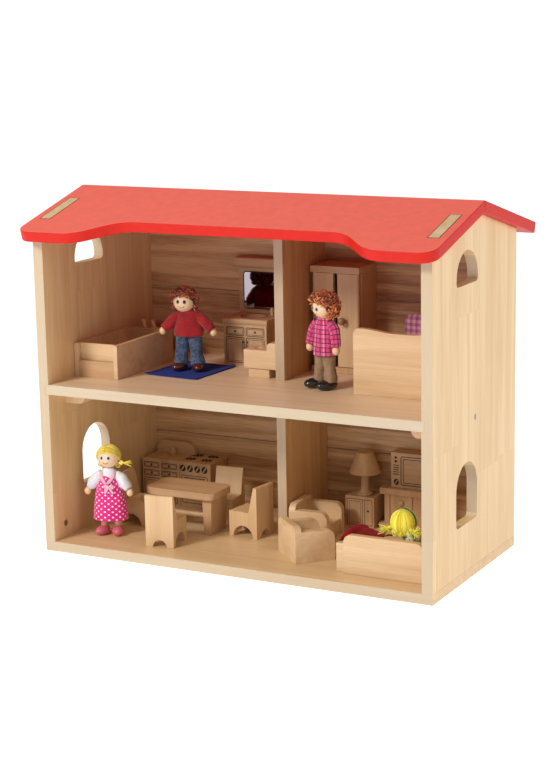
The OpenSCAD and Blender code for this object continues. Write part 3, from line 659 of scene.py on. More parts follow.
def vanity_lines():
    ink, w, h = front_ink("vanity_cabinet")
    middle, margin = w / 2, 3.2
    drawer_z = (h - 14.5, h - 3.5)
    for u0, u1 in ((margin, middle - 1.2), (middle + 1.2, w - margin)):
        ink.frame(u0, drawer_z[0], u1, drawer_z[1], 1.8)
        ink.frame(u0 + 1.8, drawer_z[0] + 1.8, u1 - 1.8, drawer_z[1] - 1.8, 1.2, 0.5)
        ink.spot((u0 + u1) / 2, sum(drawer_z) / 2, 1.4)
        ink.frame(u0, 3.0, u1, drawer_z[0] - 1.6, 1.8)
        ink.frame(u0 + 2.2, 5.2, u1 - 2.2, drawer_z[0] - 4.0, 1.2, 0.5)
    for u in (middle - 3.2, middle + 3.2):
        ink.spot(u, drawer_z[0] - 7.5, 1.2)
    ink.make("vanity_lines", "vanity")
    rim, w, d = top_ink("vanity_counter")
    rim.ring(w / 2, d / 2, 16.9, 1.1)
    rim.make("basin_rim", "vanity")
    low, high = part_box("vanity_mirror")
    edge = Ink((low.x, low.y, low.z))
    edge.frame(-0.5, -0.5, (high.x - low.x) / MM + 0.5, (high.z - low.z) / MM + 0.5, 4.4, 1.3)
    edge.make("mirror_edge", "vanity", M["gap"])


def kitchen_lines():
    ink, w, h = front_ink("kitchen_cabinet")
    rows = ((h - 12.0, h - 4.5), (h - 23.0, h - 15.0))
    for v0, v1 in rows:
        for u0, u1 in ((2.2, 25.0), (28.0, 51.5)):
            ink.frame(u0, v0, u1, v1, 1.4)
            ink.frame(u0 + 1.7, v0 + 1.7, u1 - 1.7, v1 - 1.7, 1.0, 0.5)
            ink.spot((u0 + u1) / 2, (v0 + v1) / 2, 1.4)
    for u0, u1, knob in ((2.2, 25.0, 21.5), (28.0, 51.5, 31.5)):
        ink.frame(u0, 3.0, u1, rows[1][0] - 2.5, 1.8)
        ink.frame(u0 + 3.0, 6.0, u1 - 3.0, rows[1][0] - 5.5, 1.2, 0.5)
        ink.spot(knob, rows[1][0] - 12.0, 1.4)
    dials = [60.3 + 10.6 * k for k in range(4)]
    for u in dials:
        ink.spot(u, h - 8.2, 4.2, 4.5)
    ink.line(55.5, 2.0, 55.5, h - 3.0, 0.5)
    ink.frame(58.0, 6.0, w - 4.5, h - 17.0, 2.2)
    ink.frame(62.0, 10.0, w - 8.5, h - 24.0, 2.0, 0.4)
    ink.line(62.0, h - 20.5, w - 8.5, h - 20.5, 1.1)
    ink.make("kitchen_lines", "kitchen_unit")
    slash = Ink(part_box("kitchen_cabinet")[0])
    slash.proud = OVER_INK
    for u in dials:
        slash.line(u - 1.9, h - 11.2, u + 1.9, h - 5.2, 1.7)
    slash.make("kitchen_dials", "kitchen_unit", M["oak_x"])
    hob, w, d = top_ink("kitchen_cabinet")
    for u, v in ((62.0, 36.5), (85.0, 36.5), (62.0, 17.5), (85.5, 17.5)):
        for k in range(8):
            angle = math.pi / 4 * k + math.pi / 8
            hob.line(
                u + 3.0 * math.cos(angle), v + 2.5 * math.sin(angle),
                u + 8.3 * math.cos(angle), v + 6.4 * math.sin(angle), 3.4,
            )
        hob.spot(u, v, 2.0)
    hob.frame(55.5, 8.0, w - 3.5, d - 2.5, 2.0, 0.4)
    hob.make("kitchen_hob", "kitchen_unit")


def side_cabinet_lines():
    ink, w, h = front_ink("side_cabinet")
    ink.frame(2.2, 2.6, w - 2.2, h - 3.0, 1.0, 0.7)
    ink.line(w * 0.60, 3.0, w * 0.60, h - 3.2, 0.6)
    ink.line(w * 0.67, 3.0, w * 0.67, h - 3.2, 0.6)
    ink.frame(5.2, 5.6, w * 0.60 - 2.6, h - 6.0, 0.8, 0.4)
    ink.spot(w * 0.79, h * 0.55, 1.35)
    ink.make("side_cabinet_lines", "side_cabinet")


def television_lines():
    ink, w, h = front_ink("television")
    ink.frame(13.0, 3.0, w - 2.6, h - 4.2, 3.0, 1.0)
    ink.frame(16.2, 6.0, w - 5.8, h - 7.4, 1.8, 0.8)
    for v in (h - 6.4, h - 11.2):
        ink.spot(6.6, v, 1.6)
    for k in range(5):
        ink.line(3.2, h - 16.0 - 2.8 * k, 10.6, h - 16.0 - 2.8 * k, 1.0)
    ink.spot(7.2, 6.8, 3.4, 3.9)
    ink.make("television_lines", "television_set")
    slash = Ink(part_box("television")[0])
    slash.proud = OVER_INK
    slash.line(5.5, 4.6, 8.9, 9.2, 1.2)
    slash.make("television_dial", "television_set", M["oak_x"])


def tenon_outlines():
    """The dark joint line round both wall tenons in the roof."""
    _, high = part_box("front_roof_panel")
    slope = math.radians(15)
    up_slope = Vector((0, math.cos(slope), math.sin(slope)))
    wall_x = 247.5 * MM
    half_w, half_l, middle = 6.9, 33.4, 75 / math.cos(slope)
    for side in (-1, 1):
        ink = Ink((side * wall_x, high.y, high.z), RIGHT, up_slope)
        ink.frame(-half_w, -middle - half_l, half_w, -middle + half_l, 0.4, 0.5)
        ink.make("left_tenon_line" if side < 0 else "right_tenon_line", "house", M["gap"])


tenon_outlines()
vanity_lines()
kitchen_lines()
side_cabinet_lines()
television_lines()


# ---- cloth pieces ----


def bath_mat():
    """Felt mat, lying almost flat with slightly lifted corners."""
    low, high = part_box("bath_mat")
    centre = (low + high) / 2
    width, length, thick = 0.075, 0.088, 0.0011
    place = Matrix.Translation((centre.x, centre.y, low.z)) @ Matrix.Rotation(math.radians(-4), 4, "Z")
    cols, rows = 30, 36
    shape = Shape()

    def height(u, v):
        corner = max(0.0, abs(u) * abs(v) - 0.72) * 4.5
        wave = 0.35 * (noise.noise(Vector((u * 1.6, v * 1.6, 3.0))) + 0.5) * max(abs(u), abs(v)) ** 3
        return (corner + max(wave, 0.0)) * MM

    def layer(lift):
        points = []
        for j in range(rows + 1):
            for i in range(cols + 1):
                u, v = 2 * i / cols - 1, 2 * j / rows - 1
                rough = 0.0004 * noise.noise(Vector((u * 9, v * 9, 0))) * (max(abs(u), abs(v)) > 0.99)
                x, y = u * width / 2 + rough, v * length / 2 + rough
                points.append(Vector((x, y, height(u, v) + lift)) / MM)
        return points

    slab(shape, layer(0.0), layer(thick), cols, rows)
    made = shape.make("bath_mat_felt", M["blue"], "bath_mat", place)
    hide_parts("bath_mat")


def slab(shape, under, over, cols, rows):
    """A closed sheet between two grids of points."""
    low, high = shape.add_points(under), shape.add_points(over)
    row = cols + 1
    for j in range(rows):
        for i in range(cols):
            a, d = j * row + i, (j + 1) * row + i
            b, c = a + 1, d + 1
            shape.face((low + d, low + c, low + b, low + a))
            shape.face((high + a, high + b, high + c, high + d))
    border = [i for i in range(cols + 1)] + [j * row + cols for j in range(1, rows + 1)]
    border += [rows * row + i for i in reversed(range(cols))] + [j * row for j in reversed(range(1, rows))]
    for k, a in enumerate(border):
        b = border[(k + 1) % len(border)]
        shape.face((low + a, low + b, high + b, high + a))


def blanket():
    """Red felt tucked over the sitting doll's feet and draped over the sofa's arm."""
    low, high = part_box("red_blanket")
    x0, x1, top = low.x / MM, high.x / MM, high.z / MM
    cols, rows, thick = 44, 36, 1.2
    stations = [
        (0.0, -13.0), (0.06, -7.0), (0.16, -1.5), (0.28, -0.6), (0.45, -4.5), (0.7, -7.0), (1.0, -8.6),
    ]

    def profile(s):
        for (s0, z0), (s1, z1) in zip(stations, stations[1:]):
            if s <= s1:
                t = (s - s0) / (s1 - s0)
                t = t * t * (3 - 2 * t)
                return z0 + (z1 - z0) * t
        return stations[-1][1]

    def layer(lift):
        points = []
        for j in range(rows + 1):
            v = 2 * j / rows - 1
            for i in range(cols + 1):
                s = i / cols
                x = x0 + (x1 - x0) * s
                y = (low.y + high.y) / 2 / MM + v * (high.y - low.y) / 2 / MM
                sag = 4.5 * abs(v) ** 2.6 + 1.1 * noise.noise(Vector((x / 11, y / 11, 1.5)))
                points.append(Vector((x, y, top + profile(s) - sag + lift)))
        return points

    shape = Shape()
    slab(shape, layer(-thick), layer(0.0), cols, rows)
    made = shape.make("red_blanket_felt", M["crimson"], "red_blanket")
    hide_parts("red_blanket")


def pillow():
    """Stuffed gingham pillow standing on its long edge, with soft round corners."""
    low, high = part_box("bed_pillow")
    centre = (low + high) / 2 / MM
    half = Vector((high - low)) / 2 / MM
    cols, rows, edge = 44, 28, 0.35

    def side(sign):
        points = []
        for j in range(rows + 1):
            for i in range(cols + 1):
                u, v = 2 * i / cols - 1, 2 * j / rows - 1
                pull_x, pull_z = (math.sqrt(1 - 0.22 * k ** 4) for k in (v, u))
                puff = max(0.0, (1 - u ** 4) * (1 - v ** 4)) ** 0.55
                crumple = 0.8 * noise.noise(Vector((u * 3.5, v * 2.5, sign * 4.0))) * puff
                depth = sign * (edge + (half.y - edge - 0.6) * puff + crumple * 0.6)
                points.append(centre + Vector((u * half.x * pull_x, depth, v * half.z * pull_z)))
        return points

    shape = Shape()
    slab(shape, side(1.0), side(-1.0), cols, rows)
    made = shape.make("bed_pillow_cloth", M["gingham"], "bed_pillow")
    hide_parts("bed_pillow")


bath_mat()
blanket()
pillow()


# ---- dolls ----

D = {
    "skin": plain("doll_skin", (0.86, 0.60, 0.40), 0.55, Subsurface_Weight=0.08),
    "hand": wood("doll_hand_wood", (0.84, 0.60, 0.37), (0.74, 0.49, 0.28), figure=0.2),
    "eye": plain("doll_eye", (0.012, 0.012, 0.010), 0.25),
    "iris": plain("doll_iris", (0.03, 0.22, 0.17), 0.3),
    "eye_white": plain("doll_eye_white", (0.88, 0.88, 0.86), 0.4),
    "mouth": plain("doll_mouth", (0.32, 0.05, 0.03), 0.5),
    "red_top": cloth("red_shirt_cloth", (0.42, 0.010, 0.014), (0.22, 0.004, 0.007), contrast=0.4),
    "denim": cloth("denim", (0.10, 0.16, 0.26), (0.012, 0.028, 0.07), mottle_scale=330.0, contrast=0.75),
    "plaid": plaid(
        "plaid_shirt_cloth", (0.62, 0.022, 0.13), (0.72, 0.13, 0.32), (0.05, 0.008, 0.03), (0.80, 0.42, 0.58),
    ),
    "khaki": cloth("khaki", (0.38, 0.24, 0.13), (0.22, 0.13, 0.065), contrast=0.35),
    "dotted": dots("dotted_dress_cloth", (0.80, 0.015, 0.25), (0.92, 0.88, 0.90)),
    "white_cotton": cloth("white_cotton", (0.84, 0.84, 0.88), (0.70, 0.72, 0.80), contrast=0.2),
    "pale_pink": cloth("pale_pink", (0.86, 0.52, 0.62), (0.78, 0.40, 0.52), contrast=0.3),
    "print": cloth(
        "girl_dress_cloth", (0.80, 0.74, 0.45), (0.03, 0.14, 0.07), mottle_scale=260.0, contrast=1.0,
    ),
    "brown_shoe": plain("brown_shoe", (0.075, 0.016, 0.012), 0.12, Coat_Weight=0.6),
    "black_shoe": plain("black_shoe", (0.008, 0.008, 0.010), 0.14, Coat_Weight=0.6),
    "pink_shoe": plain("pink_shoe", (0.66, 0.14, 0.20), 0.3, Coat_Weight=0.2),
    "auburn": yarn("auburn_yarn", (0.05, 0.008, 0.005), (0.30, 0.045, 0.015), (0.55, 0.16, 0.04)),
    "ginger": yarn("ginger_yarn", (0.14, 0.02, 0.008), (0.52, 0.11, 0.02), (0.80, 0.30, 0.08)),
    "yellow": yarn("yellow_yarn", (0.62, 0.48, 0.01), (0.84, 0.74, 0.02), (0.92, 0.86, 0.12)),
    "blonde": yarn("blonde_yarn", (0.60, 0.42, 0.04), (0.82, 0.66, 0.06), (0.90, 0.80, 0.22)),
    "green_band": cloth("green_band", (0.02, 0.22, 0.08), (0.01, 0.12, 0.04), contrast=0.3),
    "red_tie": cloth("red_tie", (0.60, 0.03, 0.03), (0.35, 0.01, 0.01), contrast=0.3),
}


def doll_place(node, turn):
    """Where a standing doll's axis meets the ground it stands on, turned to face its way."""
    low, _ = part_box(node)
    top = max(nodes[node].data.vertices, key=lambda v: v.co.z).co
    return Matrix.Translation((top.x, top.y, low.z)) @ Matrix.Rotation(math.radians(turn), 4, "Z")


def tilted(turn, tilt, neck_z):
    """A head turned about the body's axis and tilted sideways at the neck."""
    neck = Matrix.Translation((0, 0, neck_z * MM))
    spin = Matrix.Rotation(math.radians(turn), 4, "Z") @ Matrix.Rotation(math.radians(tilt), 4, "Y")
    return neck @ spin @ neck.inverted()


def face(name, place, centre, r, iris, look=0.0, whites=False):
    """Round head with eyes and a smile. look tilts the face down, in degrees."""
    centre = Vector(centre)
    head = Shape()
    head.ball(centre, (r, r * 0.97, r * 0.98), 32, 22)
    head.make(name + "_head", D["skin"], name, place)

    def on_face(side, up, lift):
        yaw, pitch = math.radians(side), math.radians(up - look)
        out = Vector((math.sin(yaw) * math.cos(pitch), -math.cos(yaw) * math.cos(pitch), math.sin(pitch)))
        return centre + out * (r * 0.975 + lift), out

    def disc(side, up, size, lift, key, part):
        spot, out = on_face(side, up, lift)
        shape = Shape()
        side_axis = out.cross(UP).normalized()
        rise = side_axis.cross(out)
        rings = []
        for share, drop in ((1.0, -0.35), (1.0, 0.0), (0.75, 0.12), (0.35, 0.2)):
            rings.append([
                spot + (side_axis * math.cos(t) + rise * 1.15 * math.sin(t)) * size * share + out * drop
                for t in around(18)
            ])
        shape.loft(rings)
        shape.make(f"{name}_{part}", D[key], name, place)

    for side, label in ((-19, "right"), (19, "left")):
        if whites:
            disc(side, 6, 2.5, 0.0, "eye_white", f"eye_white_{label}")
        disc(side, 6, 1.9, 0.2, iris, f"iris_{label}")
        disc(side, 6, 1.0, 0.36, "eye", f"pupil_{label}")
    smile = Shape()
    path = []
    for k in range(13):
        t = k / 6 - 1
        path.append(on_face(15 * t, -27 + 8 * t * t, 0.1)[0])
    smile.sweep(path, 0.32, sides=8, round_ends=True)
    smile.make(name + "_smile", D["mouth"], name, place)


def any_way(rng):
    """A vector with a random direction and length."""
    return Vector((rng.gauss(0, 1), rng.gauss(0, 1), rng.gauss(0, 1)))


def curls(name, place, centre, r, reach, count, material, seed, loop_r=2.3):
    """Looped yarn hair over the top, the back and the sides of the head."""
    rng = random.Random(seed)
    centre = Vector(centre)
    cap = Shape()
    cap.ball(centre + Vector((0, 1.6, 1.2)), (r + 0.7, r + 0.3, r + 0.5), 28, 18, tone=0.15)
    made = 0
    while made < count:
        out = any_way(rng).normalized()
        open_face = out.y < -0.30 and out.z < 0.52 - 0.25 * abs(out.x)
        if open_face or out.z < -0.62:
            continue
        depth = rng.uniform(0.35, 1.0)
        spot = centre + Vector((0, 0.6, 0.4)) + out * (r + (reach - r - 0.8) * depth)
        normal = out.cross(any_way(rng)) + out * rng.uniform(-0.5, 0.5)
        cap.loop(spot, normal, loop_r * rng.uniform(0.7, 1.15), rng.uniform(0.55, 0.8), tone=rng.random())
        made += 1
    cap.make(name + "_hair", material, name, place)


def shoes(name, place, key, size, x=9.0, splay=14.0, aim=0.0, shift=0.0):
    shape = Shape()
    for side in (-1, 1):
        at = (side * x + shift, -3.6, size[2] * 0.86)
        shape.ball(at, size, 26, 16, turn=side * splay + aim, floor=0.15)
    shape.make(name + "_shoes", D[key], name, place)


def legs(name, place, key, hip_z, r, top_x=6.2, foot_x=8.8, ankle_z=8.5):
    shape = Shape()
    steps = 16
    for side in (-1, 1):
        path, radii = [], []
        for k in range(steps + 1):
            t = k / steps
            x = side * (top_x + (foot_x - top_x) * t)
            path.append((x, 0.6 * math.sin(3 * t), hip_z + (ankle_z - hip_z) * t))
            radii.append(r * (1.04 - 0.16 * math.sin(math.pi * t)))
        shape.sweep(path, radii, sides=26, crease=1.5, pitch=6.0, flat=0.95)
    shape.make(name + "_trousers", D[key], name, place)


def sleeves(name, place, key, path, radii, crease=1.3):
    shape = Shape()
    for side in (-1, 1):
        points = [(side * x, y, z) for x, y, z in path]
        shape.curve(points, radii, sides=22, crease=crease, pitch=5.5, across=FRONT)
    shape.make(name + "_sleeves", D[key], name, place)


def smooth_path(points, radii, steps=4):
    """Catmull-Rom points through a short path, with radii between the given ones."""
    fine, fat = [], []
    last = len(points) - 1
    for k in range(last):
        p0, p1, p2, p3 = points[max(k - 1, 0)], points[k], points[k + 1], points[min(k + 2, last)]
        for i in range(steps + (k == last - 1)):
            t = i / steps
            fine.append(0.5 * (
                2 * p1 + (p2 - p0) * t + (2 * p0 - 5 * p1 + 4 * p2 - p3) * t * t
                + (3 * p1 - p0 - 3 * p2 + p3) * t ** 3
            ))
            fat.append(radii[k] + (radii[k + 1] - radii[k]) * t)
    return fine, fat


def hands(name, place, spot, size=(4.3, 4.1, 4.9)):
    shape = Shape()
    for side in (-1, 1):
        shape.ball((side * spot[0], spot[1], spot[2]), size, 20, 14)
    shape.make(name + "_hands", D["hand"], name, place)


def top(name, place, key, rows, crease=1.2, seed=0.0, part="shirt"):
    """A shirt or dress from level ellipses, with finer rows between the given ones."""
    fine = []
    for low, high in zip(rows, rows[1:]):
        for k in range(4):
            fine.append([a + (b - a) * k / 4 for a, b in zip(low, high)])
    fine.append(rows[-1])
    shape = Shape()
    shape.ellipses([(0, 0, z, a, b) for z, a, b in fine], sides=48, crease=crease, seed=seed)
    return shape.make(f"{name}_{part}", D[key], name, place)


def red_shirt_doll():
    name = "red_shirt_doll"
    place = doll_place(name, 12) @ Matrix.Translation((-1.5 * MM, 0, 0))
    shoes(name, place, "brown_shoe", (7.4, 12.2, 6.2), x=11.2, splay=24)
    legs(name, place, "denim", 45, 8.7, top_x=7.4, foot_x=10.8)
    shirt = top(name, place, "red_top", [
        (43.5, 18.5, 11.6), (50, 18.8, 12.0), (58, 17.4, 11.4), (66, 15.6, 10.4), (71.5, 13.8, 9.4),
        (74.5, 10.5, 7.8), (76.5, 6.6, 6.0), (78, 5.4, 5.2),
    ], seed=2.0)
    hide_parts("red_shirt_doll")
    arm = [(8.5, 0, 70), (17, -0.5, 64.5), (24.5, -1.4, 57), (30, -2.2, 51.6)]
    sleeves(name, place, "red_top", arm, [6.2, 6.8, 6.4, 6.3])
    hands(name, place, (32.4, -2.6, 48.6))
    head = (-4.0, -2.0, 85.4), 13.2
    face(name, place, *head, "eye")
    curls(name, place, *head, 17.6, 330, D["auburn"], 11)


def plaid_shirt_doll():
    name = "plaid_shirt_doll"
    place = doll_place(name, -18)
    shoes(name, place, "black_shoe", (8.4, 14.6, 6.5), x=9.0, splay=9, aim=-16, shift=-2.5)
    legs(name, place, "khaki", 43, 8.2, top_x=6.0, foot_x=8.6)
    shirt = top(name, place, "plaid", [
        (40, 15.8, 11.4), (48, 15.6, 11.4), (60, 14.6, 10.6), (71, 13.8, 9.8), (78, 12.6, 9.0),
        (82.5, 9.4, 7.6), (85.5, 6.2, 5.8), (87, 5.4, 5.2),
    ], crease=0.9, seed=7.0)
    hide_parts("plaid_shirt_doll")
    arm = [(9.5, 0, 78), (16, -0.3, 71), (19, -1.2, 61), (20.6, -2.2, 51.5)]
    sleeves(name, place, "plaid", arm, [5.6, 6.2, 6.0, 5.8], 0.8)
    hands(name, place, (21.0, -2.8, 47.8), (4.6, 4.6, 5.6))
    head = (1.5, -2.6, 96.6), 13.0
    head_place = place @ tilted(-13, 6, 86)
    face(name, head_place, *head, "iris", look=8)
    curls(name, head_place, *head, 19.0, 400, D["ginger"], 23, 2.6)


def strand_hair(name, place, centre, r, material, seed, thick=0.75, count=84, nape=44):
    """Yarn laid in strands from the parting down both sides and the back, with loops round the neck."""
    rng = random.Random(seed)
    centre = Vector(centre)
    cap = Shape()
    cap.ball(centre + Vector((0, 1.8, 1.0)), (r + 0.5, r, r + 0.3), 28, 18, tone=0.2)
    shell = centre + Vector((0, 0.5, 0.4))
    for k in range(count):
        side = -1 if k % 2 else 1
        share = (k // 2) / (count // 2 - 1)
        angle = math.radians(-62 + 140 * share)
        front = Vector((0, math.sin(angle), math.cos(angle)))
        end = Vector((side * 0.94, -0.05 + 0.75 * share, -0.45 - 0.25 * share)).normalized()
        path = []
        for i in range(13):
            t = i / 12
            bulge = Vector((side * 0.75 * math.sin(math.pi * t), 0, 0.12))
            out = (front * (1 - t) + end * t + bulge).normalized()
            path.append(shell + out * (r + 0.9 + rng.uniform(-0.12, 0.2)))
        cap.sweep(path, thick, sides=6, tone=rng.random())
    for k in range(nape):
        turn = math.radians(-80 + 160 * k / (nape - 1))
        end = Vector((math.sin(turn) * 0.8, math.cos(turn) * 0.8, -0.72)).normalized()
        begin = Vector((math.sin(turn) * 0.12, 0.30, 0.95)).normalized()
        middle = Vector((math.sin(turn), math.cos(turn), 0.15)).normalized()
        path = []
        for i in range(13):
            t = i / 12
            out = begin * (1 - t) ** 2 + middle * 2.4 * t * (1 - t) + end * t * t
            path.append(shell + out.normalized() * (r + 1.2 + rng.uniform(-0.1, 0.25)))
        cap.sweep(path, thick, sides=6, tone=rng.random())
        for _ in range(2):
            spot = path[-1] + Vector((rng.gauss(0, 1.2), rng.gauss(0, 1.0), rng.uniform(-2.6, 0.6)))
            twist = Vector((rng.gauss(0, 0.6), 1, rng.gauss(0, 0.4)))
            cap.loop(spot, twist, rng.uniform(1.7, 2.6), thick * 0.75, tone=rng.random())
    cap.make(name + "_hair", material, name, place)


def tuft(shape, start, direction, length, count, spread, thick, rng):
    """A bunch of loose yarn ends."""
    direction = Vector(direction).normalized()
    for _ in range(count):
        drift = any_way(rng) * spread
        run = length * rng.uniform(0.8, 1.1)
        bow = any_way(rng) * spread * 0.4
        path = [
            Vector(start) + direction * run * t + drift * t ** 1.4 + bow * math.sin(math.pi * t)
            for t in (0, 0.2, 0.4, 0.6, 0.8, 1)
        ]
        shape.sweep(path, thick, sides=6, tone=rng.random())


def plait(shape, start, end, r, rng, turns=5):
    """Three strands wound over each other."""
    start, end = Vector(start), Vector(end)
    along = (end - start).normalized()
    side = along.orthogonal().normalized()
    deep = along.cross(side)
    for k in range(3):
        path = []
        for i in range(turns * 8 + 1):
            t = i / (turns * 8)
            angle = 2 * math.pi * (t * turns * 0.5 + k / 3)
            weave = side * r * 0.8 * math.sin(angle) + deep * r * 0.4 * math.sin(2 * angle)
            path.append(start + (end - start) * t + weave)
        shape.sweep(path, r * 0.55, sides=8, tone=rng.random())


def pink_dress_doll():
    name = "pink_dress_doll"
    place = doll_place(name, 14)
    shoes(name, place, "pink_shoe", (7.4, 11.5, 6.2), x=9.6, splay=20)
    shins = Shape()
    for side in (-1, 1):
        shins.sweep([(side * 8.6, 0, 8), (side * 8.4, 0, 24)], 3.9, sides=20)
    shins.make(name + "_legs", D["hand"], name, place)
    dress = top(name, place, "dotted", [
        (19.5, 21.6, 15.0), (28, 21.2, 15.0), (40, 19.8, 14.2), (52, 18.0, 13.0), (61, 16.2, 11.8),
        (69, 14.2, 10.4), (75, 11.4, 8.8), (77.5, 8.6, 7.4),
    ], seed=4.0, part="dress")
    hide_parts("pink_dress_doll")
    top(name, place, "white_cotton", [
        (70, 12.6, 9.0), (75, 12.4, 9.0), (79, 10.4, 7.8), (82, 7.4, 6.4), (84, 5.6, 5.4),
    ], crease=0.6, seed=9.0, part="blouse")
    arm = [(8.5, 0, 76), (15, -0.8, 71), (21, -2.0, 63.5), (25, -3.0, 58.5)]
    sleeves(name, place, "white_cotton", arm, [5.4, 7.2, 7.0, 4.6], 1.4)
    hands(name, place, (27.0, -3.6, 54.4))
    collar = Shape()
    for side in (-1, 1):
        lapel = ((7.5, -4.5, 80.5), (7.4, -8.8, 75), (4.2, -11.2, 69.5), (0.6, -12.2, 65.6))
        points = [(side * x, y, z) for x, y, z in lapel]
        collar.curve(points, [1.9, 2.1, 2.0, 1.5], sides=14, flat=0.5, crease=0.5, pitch=3.0)
    bow_at = Vector((3.4, -13.6, 62.8))
    for side in (-1, 1):
        wing = ((0, 0, 0), (2.6, -0.8, 1.6), (5.6, -0.5, 0.9), (5.0, 0, -1.2), (0, 0, 0))
        tail = ((0, 0, 0), (2.5, -0.4, -3.8), (5.2, -0.2, -8.2))
        for part, radii, flat, across in (
            (wing, [0.8, 1.3, 1.4, 1.3, 0.8], 0.45, UP),
            (tail, [0.9, 1.4, 1.6], 0.35, RIGHT),
        ):
            points = [bow_at + Vector((side * x, y, z)) for x, y, z in part]
            collar.curve(points, radii, sides=12, flat=flat, across=across)
    collar.ball(bow_at + Vector((0, -0.4, 0)), (1.5, 1.2, 1.4), 14, 10)
    collar.make(name + "_collar", D["pale_pink"], name, place)
    head = (0, -1.6, 97.4), 13.4
    face(name, place, *head, "iris", whites=True)
    strand_hair(name, place, *head, D["blonde"], 31)
    rng = random.Random(5)
    braid = Shape()
    left_tie, right_tie = (18.5, -2.5, 90.5), (-9.0, 12.0, 78)
    plait(braid, (12.8, -1, 92.5), left_tie, 2.0, rng, 3)
    for lean in (-3.2, 0.4, 3.6):
        tuft(braid, left_tie, (9.5, -1.0, lean), 11, 5, 0.8, 0.42, rng)
    plait(braid, (-9.5, 8.5, 90), right_tie, 2.2, rng, 4)
    tuft(braid, right_tie, (0.1, 0.2, -1), 8, 9, 1.2, 0.42, rng)
    braid.make(name + "_braids", D["blonde"], name, place)
    ties = Shape()
    ties.ball((13.6, -1.2, 92.2), (1.6, 2.6, 2.6), 14, 10)
    ties.ball((-9.2, 11.0, 80.5), (2.6, 2.6, 1.6), 14, 10)
    ties.make(name + "_hair_ties", D["red_tie"], name, place)


def sofa_doll():
    """Yellow-haired doll on the sofa, with its legs along the seat and its head turned to the television."""
    name = "sofa_doll"
    base = Matrix.Translation((0, -134 * MM, 0))
    head_at = Vector((194.5, 57.4, 73.1))
    place = base @ Matrix.Translation(head_at * MM) @ Matrix.Rotation(math.radians(174), 4, "Z")
    centre = (0, -1.0, 0)
    face(name, place, centre, 13.2, "iris", whites=True)
    strand_hair(name, place, centre, 13.4, D["yellow"], 47, thick=0.85, count=96)
    band = Shape()
    path = []
    for k in range(25):
        angle = math.radians(-100 + 200 * k / 24)
        path.append(Vector((15.2 * math.sin(angle), -1.2, 15.2 * math.cos(angle) + 0.5)))
    band.sweep(path, 1.7, sides=12, flat=0.4, across=FRONT)
    band.make(name + "_hair_band", D["green_band"], name, place)
    rng = random.Random(8)
    braid = Shape()
    for side, rise, reach in ((-1, 1.0, 10.5), (1, -0.35, 8.0)):
        start = Vector((side * 11.5, 4.0, -6.5))
        knot = start + Vector((side * 4.0, 2.5, -1.5))
        plait(braid, start, knot, 2.6, rng, 2)
        for step in range(5):
            direction = (side * 1.0, 0.35, -0.95 + 0.32 * step + 0.5 * rise)
            tuft(braid, knot, direction, reach, 9, 2.2, 0.5, rng)
    braid.make(name + "_braids", D["yellow"], name, place)
    body_shape = Shape()
    chest = [(207, 62, 37), (206, 61, 46), (203.5, 60, 54), (200.5, 59, 61), (198.5, 58.5, 64.5)]
    body_shape.sweep(chest, [9.5, 10.5, 10.5, 8.5, 5.0], sides=28, crease=1.2)
    lap = [(211, 61, 39), (200, 62.5, 40), (188, 64, 41)]
    body_shape.sweep(lap, [8.0, 9.5, 8.0], sides=28, crease=1.4, round_ends=True, across=UP)
    dress = body_shape.make(name + "_dress", D["print"], name, base)
    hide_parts("sofa_doll")
    limbs = Shape()
    for dy in (-6.5, 6.5):
        leg = [(190, 64 + dy / 2, 39.6), (165, 66 + dy * 0.8, 42), (145, 68 + dy, 44.6)]
        limbs.sweep(leg, 4.1, sides=18, round_ends=True, across=UP)
    limbs.make(name + "_legs", D["hand"], name, base)
    boots = Shape()
    for dy in (-7, 7):
        foot = [(143, 68 + dy, 45.4), (134, 68 + dy, 48.8), (127, 68 + dy, 51.6)]
        boots.sweep(foot, [3.2, 3.1, 3.9], sides=18, round_ends=True, across=FRONT)
    boots.make(name + "_shoes", D["brown_shoe"], name, base)
    arms = Shape()
    for points in (
        [(204, 51, 60), (207, 46, 52), (203, 44.5, 44)],
        [(204, 68, 60), (205, 74, 52), (200, 76, 44)],
    ):
        arms.curve(points, [4.6, 4.9, 4.6], sides=18, crease=0.8, round_ends=True)
    arms.make(name + "_arms", D["print"], name, base)


red_shirt_doll()
plaid_shirt_doll()
pink_dress_doll()
sofa_doll()


# ---- camera, lights and floor ----


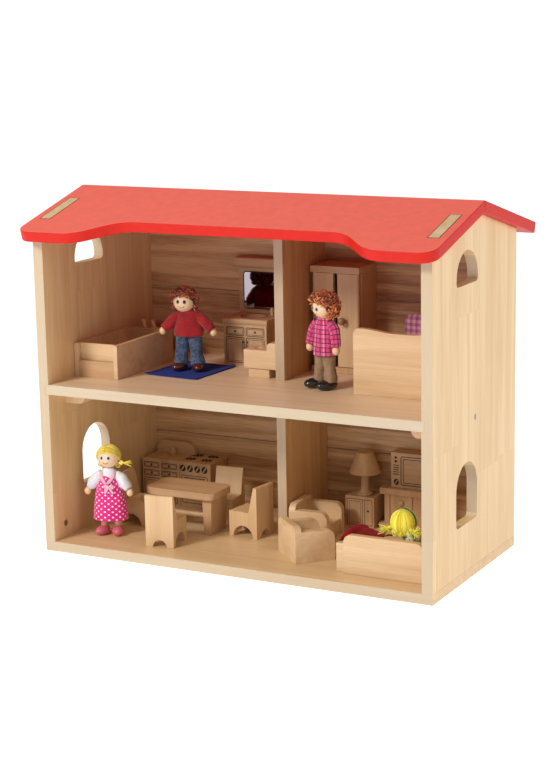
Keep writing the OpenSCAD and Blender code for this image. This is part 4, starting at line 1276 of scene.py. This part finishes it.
def camera():
    """The viewpoint: above and to the right of the open front."""
    place = Vector((1.0302, -1.9565, 0.6725))
    yaw, pitch, roll = (math.radians(a) for a in (-27.875, 12.059, -1.076))
    forward = Vector((math.sin(yaw) * math.cos(pitch), math.cos(yaw) * math.cos(pitch), -math.sin(pitch)))
    level = Vector((math.cos(yaw), -math.sin(yaw), 0))
    top = level.cross(forward)
    right = level * math.cos(roll) + top * math.sin(roll)
    top = right.cross(forward)
    data = bpy.data.cameras.new("camera")
    data.lens = 88.75
    data.sensor_width = 36.0
    data.clip_start, data.clip_end = 0.05, 30.0
    made = bpy.data.objects.new("camera", data)
    made.matrix_world = Matrix((
        (right.x, top.x, -forward.x, place.x),
        (right.y, top.y, -forward.y, place.y),
        (right.z, top.z, -forward.z, place.z),
        (0, 0, 0, 1),
    ))
    bpy.context.scene.collection.objects.link(made)
    bpy.context.scene.camera = made


def area_light(name, place, target, size, power, colour=(1, 1, 1)):
    data = bpy.data.lights.new(name, "AREA")
    data.size = size
    data.energy = power
    data.color = colour
    made = bpy.data.objects.new(name, data)
    made.location = place
    made.rotation_mode = "QUATERNION"
    made.rotation_quaternion = (Vector(target) - Vector(place)).to_track_quat("-Z", "Y")
    bpy.context.scene.collection.objects.link(made)


def studio():
    """Plain white surroundings, brighter to the camera than to the object, and two lamps."""
    world = bpy.data.worlds.new("studio")
    world.use_nodes = True
    tree = world.node_tree
    background = tree.nodes["Background"]
    background.inputs["Color"].default_value = (1.0, 1.0, 1.0, 1)
    rays = tree.nodes.new("ShaderNodeLightPath")
    backdrop = tree.nodes.new("ShaderNodeMapRange")
    light_strength, seen_strength = 0.44, 1.05
    backdrop.inputs["To Min"].default_value = light_strength
    backdrop.inputs["To Max"].default_value = seen_strength
    tree.links.new(rays.outputs["Is Camera Ray"], backdrop.inputs["Value"])
    tree.links.new(backdrop.outputs["Result"], background.inputs["Strength"])
    bpy.context.scene.world = world
    bpy.context.scene.view_settings.view_transform = "Standard"
    area_light("key_light", (-0.95, -2.3, 1.75), (0, 0, 0.2), 0.6, 50, (1.0, 0.97, 0.93))
    area_light("side_light", (2.5, 0.1, 1.0), (0.2, 0, 0.2), 1.0, 16)
    bpy.ops.mesh.primitive_plane_add(size=12, location=(0, 0, 0))
    ground = bpy.context.object
    ground.name = "studio_floor"
    ground.data.materials.append(plain(
        "studio_floor", (0.9, 0.9, 0.9), 0.9, Emission_Color=(1.0, 1.0, 1.0), Emission_Strength=0.64,
    ))


camera()
studio()
